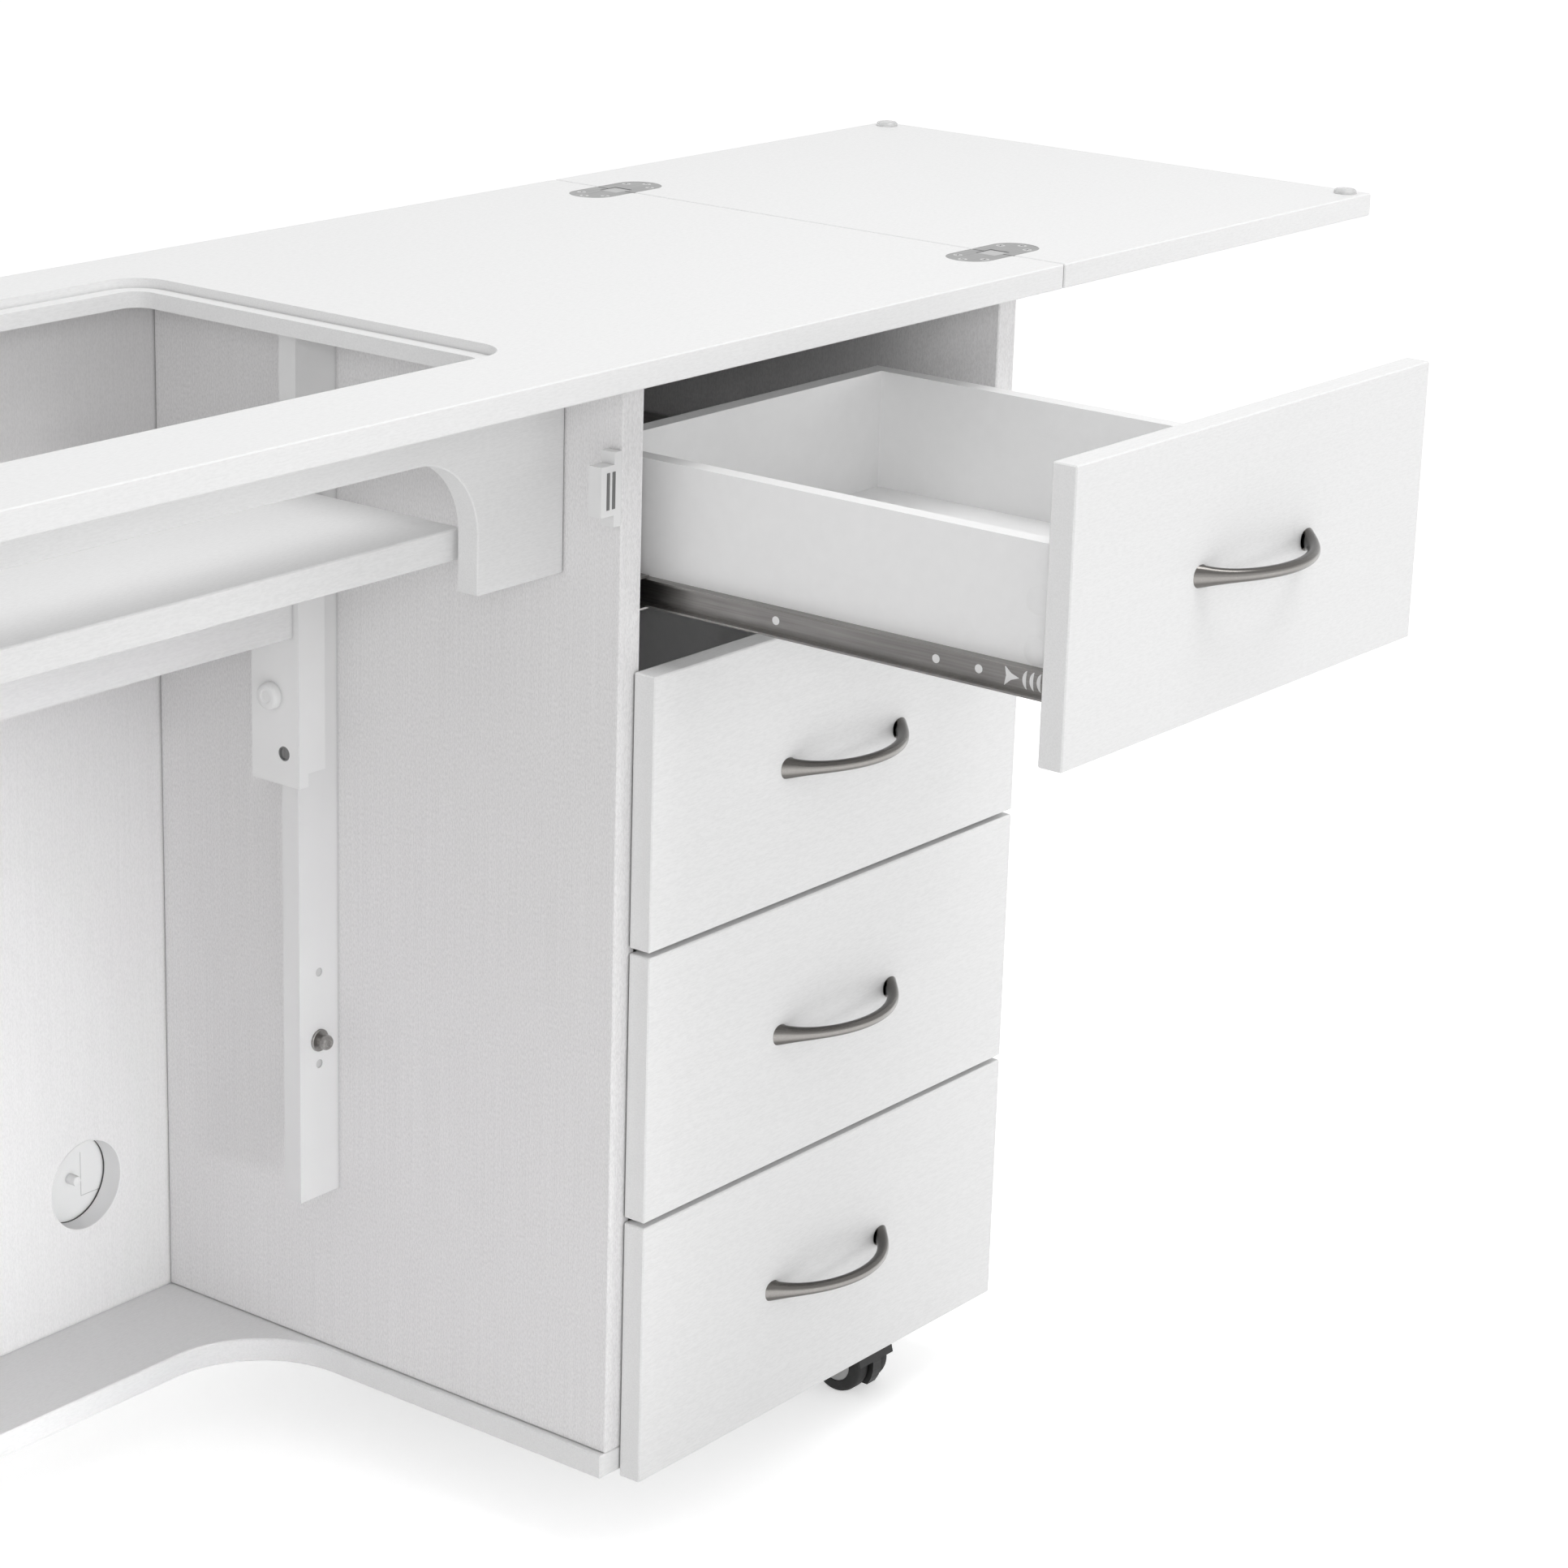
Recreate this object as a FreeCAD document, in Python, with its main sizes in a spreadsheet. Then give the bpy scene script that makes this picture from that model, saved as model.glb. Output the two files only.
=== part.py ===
import FreeCAD, Part
import math
import os
import re
import Sketcher

Vector = FreeCAD.Vector

# Driving dimensions of the sewing cabinet, in millimetres.
SIZES = {
    # carcass and table top
    "table_height": 770,
    "top_thickness": 16,
    "carcass_depth": 400,
    "front_overhang": 30,
    "rear_overhang": 2,
    "end_overhang": 8,
    "panel_thickness": 19,
    "back_thickness": 16,
    "base_thickness": 16,
    "caster_height": 54,
    "knee_width": 678,
    "bank_width": 395,
    "edge_ease": 0.8,
    # machine opening in the table top
    "opening_side": 46.5,
    "opening_front": 42,
    "opening_rear": 51,
    "opening_radius": 25,
    "rebate_depth": 6,
    "ledge_width": 11.5,
    # arched apron under the front of the knee space
    "apron_setback": 44,
    "apron_thickness": 16,
    "apron_drop": 40,
    "bracket_width": 75,
    "bracket_drop": 124.5,
    "arch_radius": 49,
    # floor board with its cut-out for the knees
    "base_lip": 4.5,
    "base_rear_depth": 100,
    "base_arm": 60,
    "base_curve": 70,
    # leaf and its flush hinges
    "seam_gap": 1.2,
    "leaf_width": 387,
    "hinge_inset": 56.5,
    "hinge_reach": 40,
    "hinge_width": 33.5,
    "hinge_thickness": 3,
    "hinge_sink": 0.2,
    "link_width": 14.5,
    "link_thickness": 2.4,
    "link_half": 8,
    "link_pivot": 3.5,
    "rivet_radius": 0.75,
    "rivet_grip": 2.5,
    "bumper_radius": 8,
    "bumper_inset": 13.5,
    # machine lift
    "platform_gap": 10,
    "platform_thickness": 19,
    "platform_drop": 104,
    "rail_width": 35,
    "rail_depth": 14,
    "rail_wall": 2,
    "rail_front": 227,
    "rail_foot": 115,
    "rail_top_gap": 4,
    "rail_hole": 2.8,
    "rail_hole_up": 46,
    "rail_hole_down": 16,
    "stud_rise": 107,
    "stud_radius": 3.5,
    "stud_length": 4.5,
    "stud_knob_radius": 5,
    "stud_knob_length": 4.5,
    "washer_radius": 7.3,
    "washer_thickness": 1.6,
    "carriage_wall": 2,
    "carriage_clear": 1.5,
    "web_clear": 0.5,
    "carriage_drop": 182.5,
    "carriage_depth": 40.5,
    "carriage_flange": 23,
    "carriage_tab": 8,
    "carriage_tab_drop": 8.5,
    "carriage_shelf": 74,
    "carriage_hole": 4.7,
    "carriage_hole_back": 13,
    "carriage_hole_rise": 20.5,
    "bolt_radius": 8.5,
    "bolt_head": 6,
    "bolt_rise": 56.5,
    "guide_radius": 5.2,
    "guide_short": 5,
    "guide_top_drop": 30,
    "crossbar_height": 40,
    "crossbar_depth": 30,
    "crossbar_drop": 46,
    "crossbar_back": 5,
    # drawer bank
    "drawer_gap": 3.5,
    "front_drop": 4,
    "front_thickness": 16,
    "front_gap": 0.5,
    "front_lap": 5.5,
    "front_side_gap": 2,
    "drawer_open": 287.5,
    "drawer_side_gap": 25,
    "drawer_board": 12,
    "drawer_rear_gap": 19,
    "drawer_top_drop": 55,
    "drawer_foot": 29.5,
    "bottom_thickness": 5,
    "bottom_inset": 6,
    "member_height": 17,
    "member_depth": 7,
    "member_wall": 1.3,
    "member_setback": 4,
    "member_short": 15,
    "runner_setback": 12,
    "runner_depth": 22,
    "runner_wall": 1.2,
    "runner_clear": 0.4,
    # bow pulls
    "pull_spacing": 116,
    "pull_reach": 27,
    "pull_mid_radius": 3.6,
    "pull_foot_radius": 6.8,
    # knee door
    "door_gap": 2,
    "door_thickness": 16,
    "door_lap": 10,
    "barrel_offset": 4,
    "barrel_radius": 3.9,
    "barrel_height": 48,
    "pin_radius": 2,
    "hinge_leaf_width": 17,
    "hinge_leaf_wall": 0.8,
    "hinge_margin": 60,
    "door_pull_inset": 42,
    "door_pull_drop": 280,
    "strike_thickness": 1.5,
    # magnetic catch
    "catch_width": 18,
    "catch_depth": 9.7,
    "catch_height": 30,
    "catch_lug_width": 6.5,
    "catch_lug_height": 44.5,
    "catch_below_top": 82,
    "catch_setback": 0.5,
    "strip_first": 13.1,
    "strip_second": 8.2,
    "strip_width": 2.5,
    "strip_height": 22,
    "strip_depth": 5,
    "strip_proud": 0.3,
    # cable port
    "port_radius": 30.5,
    "port_from_divider": 74,
    "port_height": 165.4,
    "cover_radius": 42,
    "cover_thickness": 2.5,
    "pivot_offset": 37,
    "pivot_rise": 16.5,
    "ear_radius": 9,
    "screw_radius": 2,
    "screw_head_radius": 4.5,
    "screw_head": 1.7,
    "knob_radius": 3.5,
    "knob_length": 8,
    # casters
    "wheel_radius": 20,
    "wheel_width": 12.5,
    "wheel_web": 5,
    "caster_trail": 18,
    "axle_radius": 3,
    "hood_radius": 23,
    "hood_width": 37,
    "hood_web": 4.5,
    "hood_clear": 0.8,
    "hood_skirt": 4,
    "hood_floor": 6,
    "king_radius": 4,
    "king_boss": 9,
    "king_length": 12,
    "caster_right_inset": 97,
    "caster_left_inset": 42,
    "caster_depth_inset": 49,
    "plate_size": 42,
    "plate_thickness": 3,
    # fits
    "run_clear": 0.05,
    "slide_clear": 0.3,
    # how far a cutting tool reaches past the face it opens
    "overcut": 1,
}

# Places worked out from the dimensions; each name may be used in any formula below.
PLACES = {
    "door_width": "panel_thickness + knee_width + door_lap",
    "span_left": "knee_width + panel_thickness + 2 * barrel_offset + door_width",
    "span_right": "bank_width + end_overhang + seam_gap + leaf_width",
    "divider_x": "(span_left - span_right) / 2",
    "reach_front": "front_gap + front_thickness + drawer_open + pull_reach + pull_mid_radius",
    "reach_rear": "carcass_depth + cover_thickness + 2 * slide_clear + screw_head",
    "front_y": "(reach_front - reach_rear) / 2",
    "left_x": "divider_x - knee_width - panel_thickness",
    "right_x": "divider_x + bank_width",
    "carcass_width": "panel_thickness + knee_width + bank_width",
    "inner_depth": "carcass_depth - back_thickness",
    "top_under": "table_height - top_thickness",
    "base_top": "caster_height + base_thickness",
    "panel_height": "top_under - base_top",
    "table_left": "left_x - end_overhang",
    "table_length": "carcass_width + 2 * end_overhang",
    "table_front": "front_y - front_overhang",
    "table_depth": "front_overhang + carcass_depth + rear_overhang",
    "seam_x": "right_x + end_overhang + seam_gap / 2",
    "leaf_left": "right_x + end_overhang + seam_gap",
    "opening_left": "left_x + panel_thickness + opening_side",
    "opening_width": "knee_width - 2 * opening_side",
    "opening_depth": "carcass_depth - opening_front - opening_rear",
    "hole_left": "opening_left + ledge_width",
    "hole_front": "front_y + opening_front + ledge_width",
    "hole_width": "opening_width - 2 * ledge_width",
    "hole_depth": "opening_depth - 2 * ledge_width",
    "pivot_drop": "hinge_sink + hinge_thickness / 2",
    "link_slot": "link_half + 2 * slide_clear",
    "link_sweep": "link_half - link_pivot + 2 * slide_clear",
    "bumper_height": "2 * link_pivot - 2 * pivot_drop - slide_clear",
    "platform_top": "table_height - platform_drop",
    "platform_under": "platform_top - platform_thickness",
    "rail_bottom": "base_top + rail_foot",
    "rail_height": "top_under - rail_top_gap - rail_bottom",
    "stud_height": "rail_bottom + stud_rise",
    "web_gap": "rail_width + web_clear",
    "web_x": "-web_gap - carriage_wall",
    "carriage_bottom": "platform_under - carriage_drop",
    "carriage_front": "rail_front - carriage_wall - carriage_clear",
    "guide_y": "rail_front + rail_depth + guide_radius + slide_clear",
    "front_left": "divider_x + panel_thickness - front_lap",
    "front_width": "bank_width - panel_thickness + front_lap - front_side_gap",
    "fronts_bottom": "caster_height - front_drop",
    "front_height": "(top_under - fronts_bottom - 4 * drawer_gap) / 4",
    "front_pitch": "front_height + drawer_gap",
    "bank_left": "divider_x + panel_thickness",
    "bank_inner": "bank_width - 2 * panel_thickness",
    "box_width": "bank_inner - 2 * drawer_side_gap",
    "drawer_depth": "inner_depth - drawer_rear_gap",
    "drawer_height": "front_height - drawer_top_drop - drawer_foot",
    "member_length": "drawer_depth - member_short",
    "runner_height": "member_height + 2 * runner_clear + 2 * runner_wall",
    "door_right": "left_x - 2 * barrel_offset",
    "door_left": "door_right - door_width",
    "door_height": "top_under - drawer_gap - fronts_bottom",
    "axis_x": "left_x - barrel_offset",
    "axis_y": "front_y - door_gap / 2",
    "catch_middle": "table_height - catch_below_top",
    "port_x": "divider_x - port_from_divider",
    "cover_y": "front_y + carcass_depth + slide_clear",
    "axle_height": "wheel_radius",
    "hood_top": "caster_height - plate_thickness - slide_clear",
    "king_bottom": "caster_height - plate_thickness - king_length",
}

DRAWERS = (1, 2, 3, 4)
HINGE_ROWS = ("hinge_inset", "table_depth - hinge_inset")

doc = FreeCAD.newDocument("sewing_cabinet")
sheet = doc.addObject("Spreadsheet::Sheet", "Sizes")
for row, (alias, value) in enumerate(SIZES.items(), start=1):
    sheet.set("A%d" % row, alias)
    sheet.set("B%d" % row, str(value))
    sheet.setAlias("B%d" % row, alias)
doc.recompute()


def formula(text):
    """Turn a formula of size and place names into an expression on the sheet."""
    def name(match):
        word = match.group(0)
        if word in SIZES:
            return "Sizes." + word
        return "(" + formula(PLACES[word]) + ")"
    return re.sub(r"[a-z_]+[a-z_0-9]*", name, text)


def number(text):
    return float(sheet.evalExpression(formula(text)))


def bind(item, prop, text):
    item.setExpression(prop, formula(text))


def place(item, corner):
    for axis, text in zip("xyz", corner):
        bind(item, "Placement.Base." + axis, text)
    return item


def box(label, corner, size):
    item = doc.addObject("Part::Box", label)
    for prop, text in zip(("Length", "Width", "Height"), size):
        bind(item, prop, text)
    return place(item, corner)


TURNS = {
    "z": FreeCAD.Rotation(),
    "x": FreeCAD.Rotation(Vector(0, 1, 0), 90),
    "y": FreeCAD.Rotation(Vector(1, 0, 0), -90),
}


def rod(label, corner, radius, length, along="z"):
    """A cylinder from corner, running along +x, +y or +z."""
    item = doc.addObject("Part::Cylinder", label)
    item.Placement = FreeCAD.Placement(Vector(), TURNS[along])
    bind(item, "Radius", radius)
    bind(item, "Height", length)
    return place(item, corner)


WHEEL_SIDES = 24
SMALL_SIDES = 16


def prism(label, corner, radius, length, along="z", sides=WHEEL_SIDES):
    """A light stand-in for a rod: its flats touch the radius, and one of them faces down."""
    item = doc.addObject("Part::Prism", label)
    item.Polygon = sides
    half_step = FreeCAD.Rotation(Vector(0, 0, 1), 180 / sides)
    item.Placement = FreeCAD.Placement(Vector(), TURNS[along] * half_step)
    bind(item, "Circumradius", "(%s) * %.6f" % (radius, 1 / math.cos(math.pi / sides)))
    bind(item, "Height", length)
    return place(item, corner)


def fuse(label, items):
    joined = doc.addObject("Part::MultiFuse", label)
    joined.Shapes = items
    joined.Refine = True
    return joined


def cut(label, base, tool):
    item = doc.addObject("Part::Cut", label)
    item.Base = base
    item.Tool = tool
    item.Refine = True
    doc.recompute()
    lost = base.Shape.Volume - item.Shape.Volume
    if lost <= 1e-6:
        raise ValueError("nothing was cut from " + base.Label)
    return item


def group(label, items):
    item = doc.addObject("Part::Compound", label)
    item.Links = items
    return item


def copy(label, master, corner):
    return place(group(label, [master]), corner)


def mirror_x(label, master):
    item = doc.addObject("Part::Mirroring", label)
    item.Source = master
    item.Normal = Vector(1, 0, 0)
    return item


def ease(label, blank, size="edge_ease"):
    """Take the sharpness off every edge of a board."""
    doc.recompute()
    item = doc.addObject("Part::Chamfer", label)
    item.Base = blank
    width = number(size)
    item.Edges = [(i + 1, width, width) for i in range(len(blank.Shape.Edges))]
    return item


def board(label, corner, size):
    return ease(label, box(label + "_blank", corner, size))


def new_body(label, corner):
    return place(doc.addObject("PartDesign::Body", label), corner)


def sketch(body, role, lift=None):
    item = body.newObject("Sketcher::SketchObject", body.Name + "_sketch")
    plane = next(f for f in body.Origin.OriginFeatures if f.Role == role)
    item.AttachmentSupport = [(plane, "")]
    item.MapMode = "FlatFace"
    if lift:
        bind(item, "AttachmentOffset.Base.z", lift)
    return item


def fix(item, geo, point, x, y):
    """Tie one point of a sketch to formulas for its two coordinates."""
    for kind, text in (("DistanceX", x), ("DistanceY", y)):
        rule = item.addConstraint(Sketcher.Constraint(kind, -1, 1, geo, point, number(text)))
        bind(item, "Constraints[%d]" % rule, text)


def polygon(item, points):
    start = item.GeometryCount
    flat = [Vector(number(x), number(y), 0) for x, y in points]
    count = len(flat)
    for i in range(count):
        item.addGeometry(Part.LineSegment(flat[i], flat[(i + 1) % count]))
    for i in range(count):
        item.addConstraint(Sketcher.Constraint("Coincident", start + i, 2, start + (i + 1) % count, 1))
    for i, (x, y) in enumerate(points):
        fix(item, start + i, 1, x, y)


def rectangle(item, x, y, width, depth):
    far_x = "%s + %s" % (x, width)
    far_y = "%s + %s" % (y, depth)
    polygon(item, [(x, y), (far_x, y), (far_x, far_y), (x, far_y)])


def circle(item, x, y, radius):
    middle = Vector(number(x), number(y), 0)
    geo = item.addGeometry(Part.Circle(middle, Vector(0, 0, 1), number(radius)))
    fix(item, geo, 3, x, y)
    rule = item.addConstraint(Sketcher.Constraint("Radius", geo, number(radius)))
    bind(item, "Constraints[%d]" % rule, radius)


def pad(body, profile, length, back=False):
    item = body.newObject("PartDesign::Pad", body.Name + "_pad")
    item.Profile = profile
    bind(item, "Length", length)
    item.Reversed = back
    body.Tip = item
    doc.recompute()
    return item


def pocket(body, profile, depth, back=False):
    before = body.Shape.Volume
    item = body.newObject("PartDesign::Pocket", body.Name + "_pocket")
    item.Profile = profile
    bind(item, "Length", depth)
    item.Reversed = back
    body.Tip = item
    doc.recompute()
    if body.Shape.Volume >= before - 1e-6:
        raise ValueError("pocket cut nothing in " + body.Label)
    return item


def dress(body, kind, picks, prop, size):
    """Fillet or chamfer the edges of the last feature that picks() chooses."""
    last = body.Tip
    names = ["Edge%d" % (i + 1) for i, edge in enumerate(last.Shape.Edges) if picks(edge)]
    if not names:
        raise ValueError("no edge to dress on " + body.Label)
    item = body.newObject("PartDesign::" + kind, body.Name + "_" + kind.lower())
    item.Base = (last, names)
    bind(item, prop, size)
    body.Tip = item
    doc.recompute()
    return item


def along_at(axis, spots):
    """Pick straight edges along an axis that stand on any of the given spots."""
    index = "xyz".index(axis)
    others = [i for i in range(3) if i != index]

    def picks(edge):
        if len(edge.Vertexes) != 2:
            return False
        ends = [vertex.Point for vertex in edge.Vertexes]
        if any(abs(ends[0][i] - ends[1][i]) > 1e-4 for i in others):
            return False
        return any(all(abs(ends[0][i] - spot[k]) < 1e-3 for k, i in enumerate(others)) for spot in spots)
    return picks


def every(edge):
    return True


def half_stadium(item, x, y, side):
    """Recess outline of one hinge half: straight at the seam, round at the far end."""
    reach = number("hinge_reach")
    half = number("hinge_width / 2")
    base = Vector(number(x), number(y), 0)
    bend = base + Vector(side * (reach - half), 0, 0)
    start = item.GeometryCount
    low = Vector(0, -half, 0)
    high = Vector(0, half, 0)
    item.addGeometry(Part.LineSegment(base + high, base + low))
    item.addGeometry(Part.LineSegment(base + low, bend + low))
    angles = (-math.pi / 2, math.pi / 2) if side > 0 else (math.pi / 2, 3 * math.pi / 2)
    item.addGeometry(Part.ArcOfCircle(Part.Circle(bend, Vector(0, 0, 1), half), *angles))
    item.addGeometry(Part.LineSegment(bend + high, base + high))
    near, far = (1, 2) if side > 0 else (2, 1)
    links = ((start, 2, start + 1, 1), (start + 1, 2, start + 2, near),
             (start + 2, far, start + 3, 1), (start + 3, 2, start, 1))
    for link in links:
        item.addConstraint(Sketcher.Constraint("Coincident", *link))
    sign = "+" if side > 0 else "-"
    bend_x = "%s %s (hinge_reach - hinge_width / 2)" % (x, sign)
    fix(item, start, 1, x, y + " + hinge_width / 2")
    fix(item, start, 2, x, y + " - hinge_width / 2")
    fix(item, start + 1, 2, bend_x, y + " - hinge_width / 2")
    fix(item, start + 3, 1, bend_x, y + " + hinge_width / 2")
    rule = item.addConstraint(Sketcher.Constraint("DistanceX", -1, 1, start + 2, 3, bend.x))
    bind(item, "Constraints[%d]" % rule, bend_x)


def hinge_recesses(body, edge, side):
    """Sink both hinge plates into a board's top, with a deeper well for each link."""
    start = edge if side > 0 else edge + " - link_slot + seam_gap / 2"
    for row in HINGE_ROWS:
        recess = sketch(body, "XY_Plane", "top_thickness")
        half_stadium(recess, edge, row, side)
        pocket(body, recess, "hinge_sink + hinge_thickness")
        well = sketch(body, "XY_Plane", "top_thickness")
        rectangle(well, start, row + " - link_width / 2 - slide_clear",
                  "link_slot - seam_gap / 2", "link_width + 2 * slide_clear")
        pocket(body, well, "pivot_drop + link_sweep")


# Table top: stepped opening for the machine bed, recesses for the leaf hinges.

def make_table_top():
    body = new_body("table_top", ("table_left", "table_front", "top_under"))
    outline = sketch(body, "XY_Plane")
    rectangle(outline, "0", "0", "table_length", "table_depth")
    pad(body, outline, "top_thickness")
    dress(body, "Chamfer", every, "Size", "edge_ease")
    rim_x, rim_y = "opening_left - table_left", "front_overhang + opening_front"
    rebate = sketch(body, "XY_Plane", "top_thickness")
    rectangle(rebate, rim_x, rim_y, "opening_width", "opening_depth")
    pocket(body, rebate, "rebate_depth")
    hole_x, hole_y = rim_x + " + ledge_width", rim_y + " + ledge_width"
    through = sketch(body, "XY_Plane", "top_thickness - rebate_depth")
    rectangle(through, hole_x, hole_y, "hole_width", "hole_depth")
    pocket(body, through, "top_thickness - rebate_depth")

    def corners(x, y, width, depth):
        left, front = number(x), number(y)
        right, rear = left + number(width), front + number(depth)
        return [(left, front), (right, front), (left, rear), (right, rear)]

    rim = along_at("z", corners(rim_x, rim_y, "opening_width", "opening_depth"))
    dress(body, "Fillet", rim, "Radius", "opening_radius")
    inner = along_at("z", corners(hole_x, hole_y, "hole_width", "hole_depth"))
    dress(body, "Fillet", inner, "Radius", "opening_radius - ledge_width")
    hinge_recesses(body, "table_length", -1)
    return body


def make_leaf_board():
    body = new_body("leaf_board", ("leaf_left", "table_front", "top_under"))
    outline = sketch(body, "XY_Plane")
    rectangle(outline, "0", "0", "leaf_width", "table_depth")
    pad(body, outline, "top_thickness")
    dress(body, "Chamfer", every, "Size", "edge_ease")
    hinge_recesses(body, "0", 1)
    return body


def make_base_board():
    body = new_body("base_board", ("left_x", "front_y", "caster_height"))
    arm, inner = "panel_thickness + base_arm", "panel_thickness + knee_width - base_lip"
    strip = "carcass_depth - base_rear_depth"
    outline = sketch(body, "XY_Plane")
    polygon(outline, [
        ("0", "0"), (arm, "0"), (arm, strip), (inner, strip), (inner, "0"),
        ("carcass_width", "0"), ("carcass_width", "carcass_depth"), ("0", "carcass_depth"),
    ])
    pad(body, outline, "base_thickness")
    bends = [(number(arm), number(strip)), (number(inner), number(strip))]
    dress(body, "Fillet", along_at("z", bends), "Radius", "base_curve")
    dress(body, "Chamfer", every, "Size", "edge_ease")
    return body


def make_front_apron():
    corner = ("left_x + panel_thickness", "front_y + apron_setback", "top_under - bracket_drop")
    body = new_body("front_apron", corner)
    rise, far = "bracket_drop - apron_drop", "knee_width - bracket_width"
    outline = sketch(body, "XZ_Plane")
    polygon(outline, [
        ("0", "0"), ("bracket_width", "0"), ("bracket_width", rise), (far, rise), (far, "0"),
        ("knee_width", "0"), ("knee_width", "bracket_drop"), ("0", "bracket_drop"),
    ])
    pad(body, outline, "apron_thickness", back=True)
    bends = [(number("bracket_width"), number(rise)), (number(far), number(rise))]
    dress(body, "Fillet", along_at("y", bends), "Radius", "arch_radius")
    dress(body, "Chamfer", every, "Size", "edge_ease")
    return body


def make_back_panel():
    body = new_body("back_panel", ("left_x + panel_thickness", "front_y + inner_depth", "base_top"))
    outline = sketch(body, "XZ_Plane")
    rectangle(outline, "0", "0", "knee_width + bank_width - panel_thickness", "panel_height")
    circle(outline, "knee_width - port_from_divider", "port_height - base_top", "port_radius")
    pad(body, outline, "back_thickness", back=True)
    return body


def carcass():
    side = ("panel_thickness", "carcass_depth", "panel_height")
    middle = ("panel_thickness", "inner_depth", "panel_height")
    return [
        make_table_top(),
        board("left_end_panel", ("left_x", "front_y", "base_top"), side),
        board("divider_panel", ("divider_x", "front_y", "base_top"), middle),
        board("right_end_panel", ("right_x - panel_thickness", "front_y", "base_top"), side),
        make_back_panel(),
        make_base_board(),
        make_front_apron(),
    ]


# Flush hinges of the leaf: a plate in each board and a link with two rivets.

def hinge_plate_blank(label, side):
    """One hinge half about the seam centre, its top at z = 0; side is -1 table, +1 leaf."""
    edge = "seam_gap / 2"
    flat = "hinge_reach - hinge_width / 2"
    start = edge if side > 0 else "-(%s) - (%s)" % (edge, flat)
    middle = "%s(%s + %s)" % ("" if side > 0 else "-", edge, flat)
    slab = box(label + "_slab", (start, "-hinge_width / 2", "-hinge_thickness"),
               (flat, "hinge_width", "hinge_thickness"))
    end = rod(label + "_end", (middle, "0", "-hinge_thickness"), "hinge_width / 2", "hinge_thickness")
    plate = fuse(label + "_plate", [slab, end])
    slot_start = "0" if side > 0 else "-link_slot"
    width = "link_width + 2 * slide_clear"
    notch = box(label + "_notch", (slot_start, "-(%s) / 2" % width, "-hinge_thickness - overcut"),
                ("link_slot", width, "hinge_thickness + 2 * overcut"))
    pivot = "link_pivot" if side > 0 else "-link_pivot"
    length = "link_width + 2 * rivet_grip"
    bore = rod(label + "_bore", (pivot, "-(%s) / 2" % length, "-hinge_thickness / 2"),
               "rivet_radius + run_clear", length, "y")
    return cut(label, cut(label + "_notched", plate, notch), bore)


def hinge_link_blank():
    length = "link_width + 2 * rivet_grip - 2 * slide_clear"
    items = [box("link_bar", ("-link_half", "-link_width / 2", "-link_thickness / 2"),
                 ("2 * link_half", "link_width", "link_thickness"))]
    for name, x in (("near", "-link_pivot"), ("far", "link_pivot")):
        items.append(prism("link_rivet_" + name, (x, "-(%s) / 2" % length, "0"),
                           "rivet_radius", length, "y", SMALL_SIDES))
    return fuse("hinge_link_blank", items)


def leaf_hinges():
    table_half = hinge_plate_blank("table_plate_blank", -1)
    leaf_half = hinge_plate_blank("leaf_plate_blank", 1)
    link = hinge_link_blank()
    surface = "table_height - hinge_sink"
    pivots = "table_height - pivot_drop"
    nodes = []
    for label, master, z in (("table_hinge_plates", table_half, surface),
                             ("leaf_hinge_plates", leaf_half, surface),
                             ("hinge_links", link, pivots)):
        spots = [copy("%s_%d" % (label, i), master, ("seam_x", "table_front + " + row, z))
                 for i, row in enumerate(HINGE_ROWS, start=1)]
        nodes.append(group(label, spots))
    return nodes


def leaf_bumpers():
    x = "leaf_left + leaf_width - bumper_inset"
    rows = ("table_front + bumper_inset", "table_front + table_depth - bumper_inset")
    pads = [prism("bumper_%d" % i, (x, y, "table_height"), "bumper_radius", "bumper_height")
            for i, y in enumerate(rows, start=1)]
    return group("leaf_bumpers", pads)


# Machine lift, modelled for the right side about the divider's left face and mirrored.

def lift_rail_blank():
    low = ("-rail_width", "rail_front", "rail_bottom")
    outer = box("rail_outer", low, ("rail_width", "rail_depth", "rail_height"))
    inner = box("rail_inner", ("-rail_width + rail_wall", "rail_front + rail_wall",
                              "rail_bottom - overcut"),
                ("rail_width - 2 * rail_wall", "rail_depth - 2 * rail_wall",
                 "rail_height + 2 * overcut"))
    rail = cut("rail_tube", outer, inner)
    levels = ("stud_height + rail_hole_up", "stud_height - rail_hole_down")
    holes = [prism("rail_hole_%d" % i, ("-rail_width / 2", "rail_front - overcut", z),
                   "rail_hole", "rail_wall + 2 * overcut", "y", SMALL_SIDES)
             for i, z in enumerate(levels, start=1)]
    return cut("rail_blank", rail, group("rail_holes", holes))


def stud_blank():
    middle = "-rail_width / 2"
    return fuse("stud_blank", [
        prism("stud_washer", (middle, "rail_front - washer_thickness", "stud_height"),
              "washer_radius", "washer_thickness", "y", SMALL_SIDES),
        prism("stud_neck", (middle, "rail_front - stud_length", "stud_height"),
              "stud_radius", "stud_length", "y", SMALL_SIDES),
        prism("stud_knob", (middle, "rail_front - stud_length - stud_knob_length", "stud_height"),
              "stud_knob_radius", "stud_knob_length", "y", SMALL_SIDES),
    ])


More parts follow.
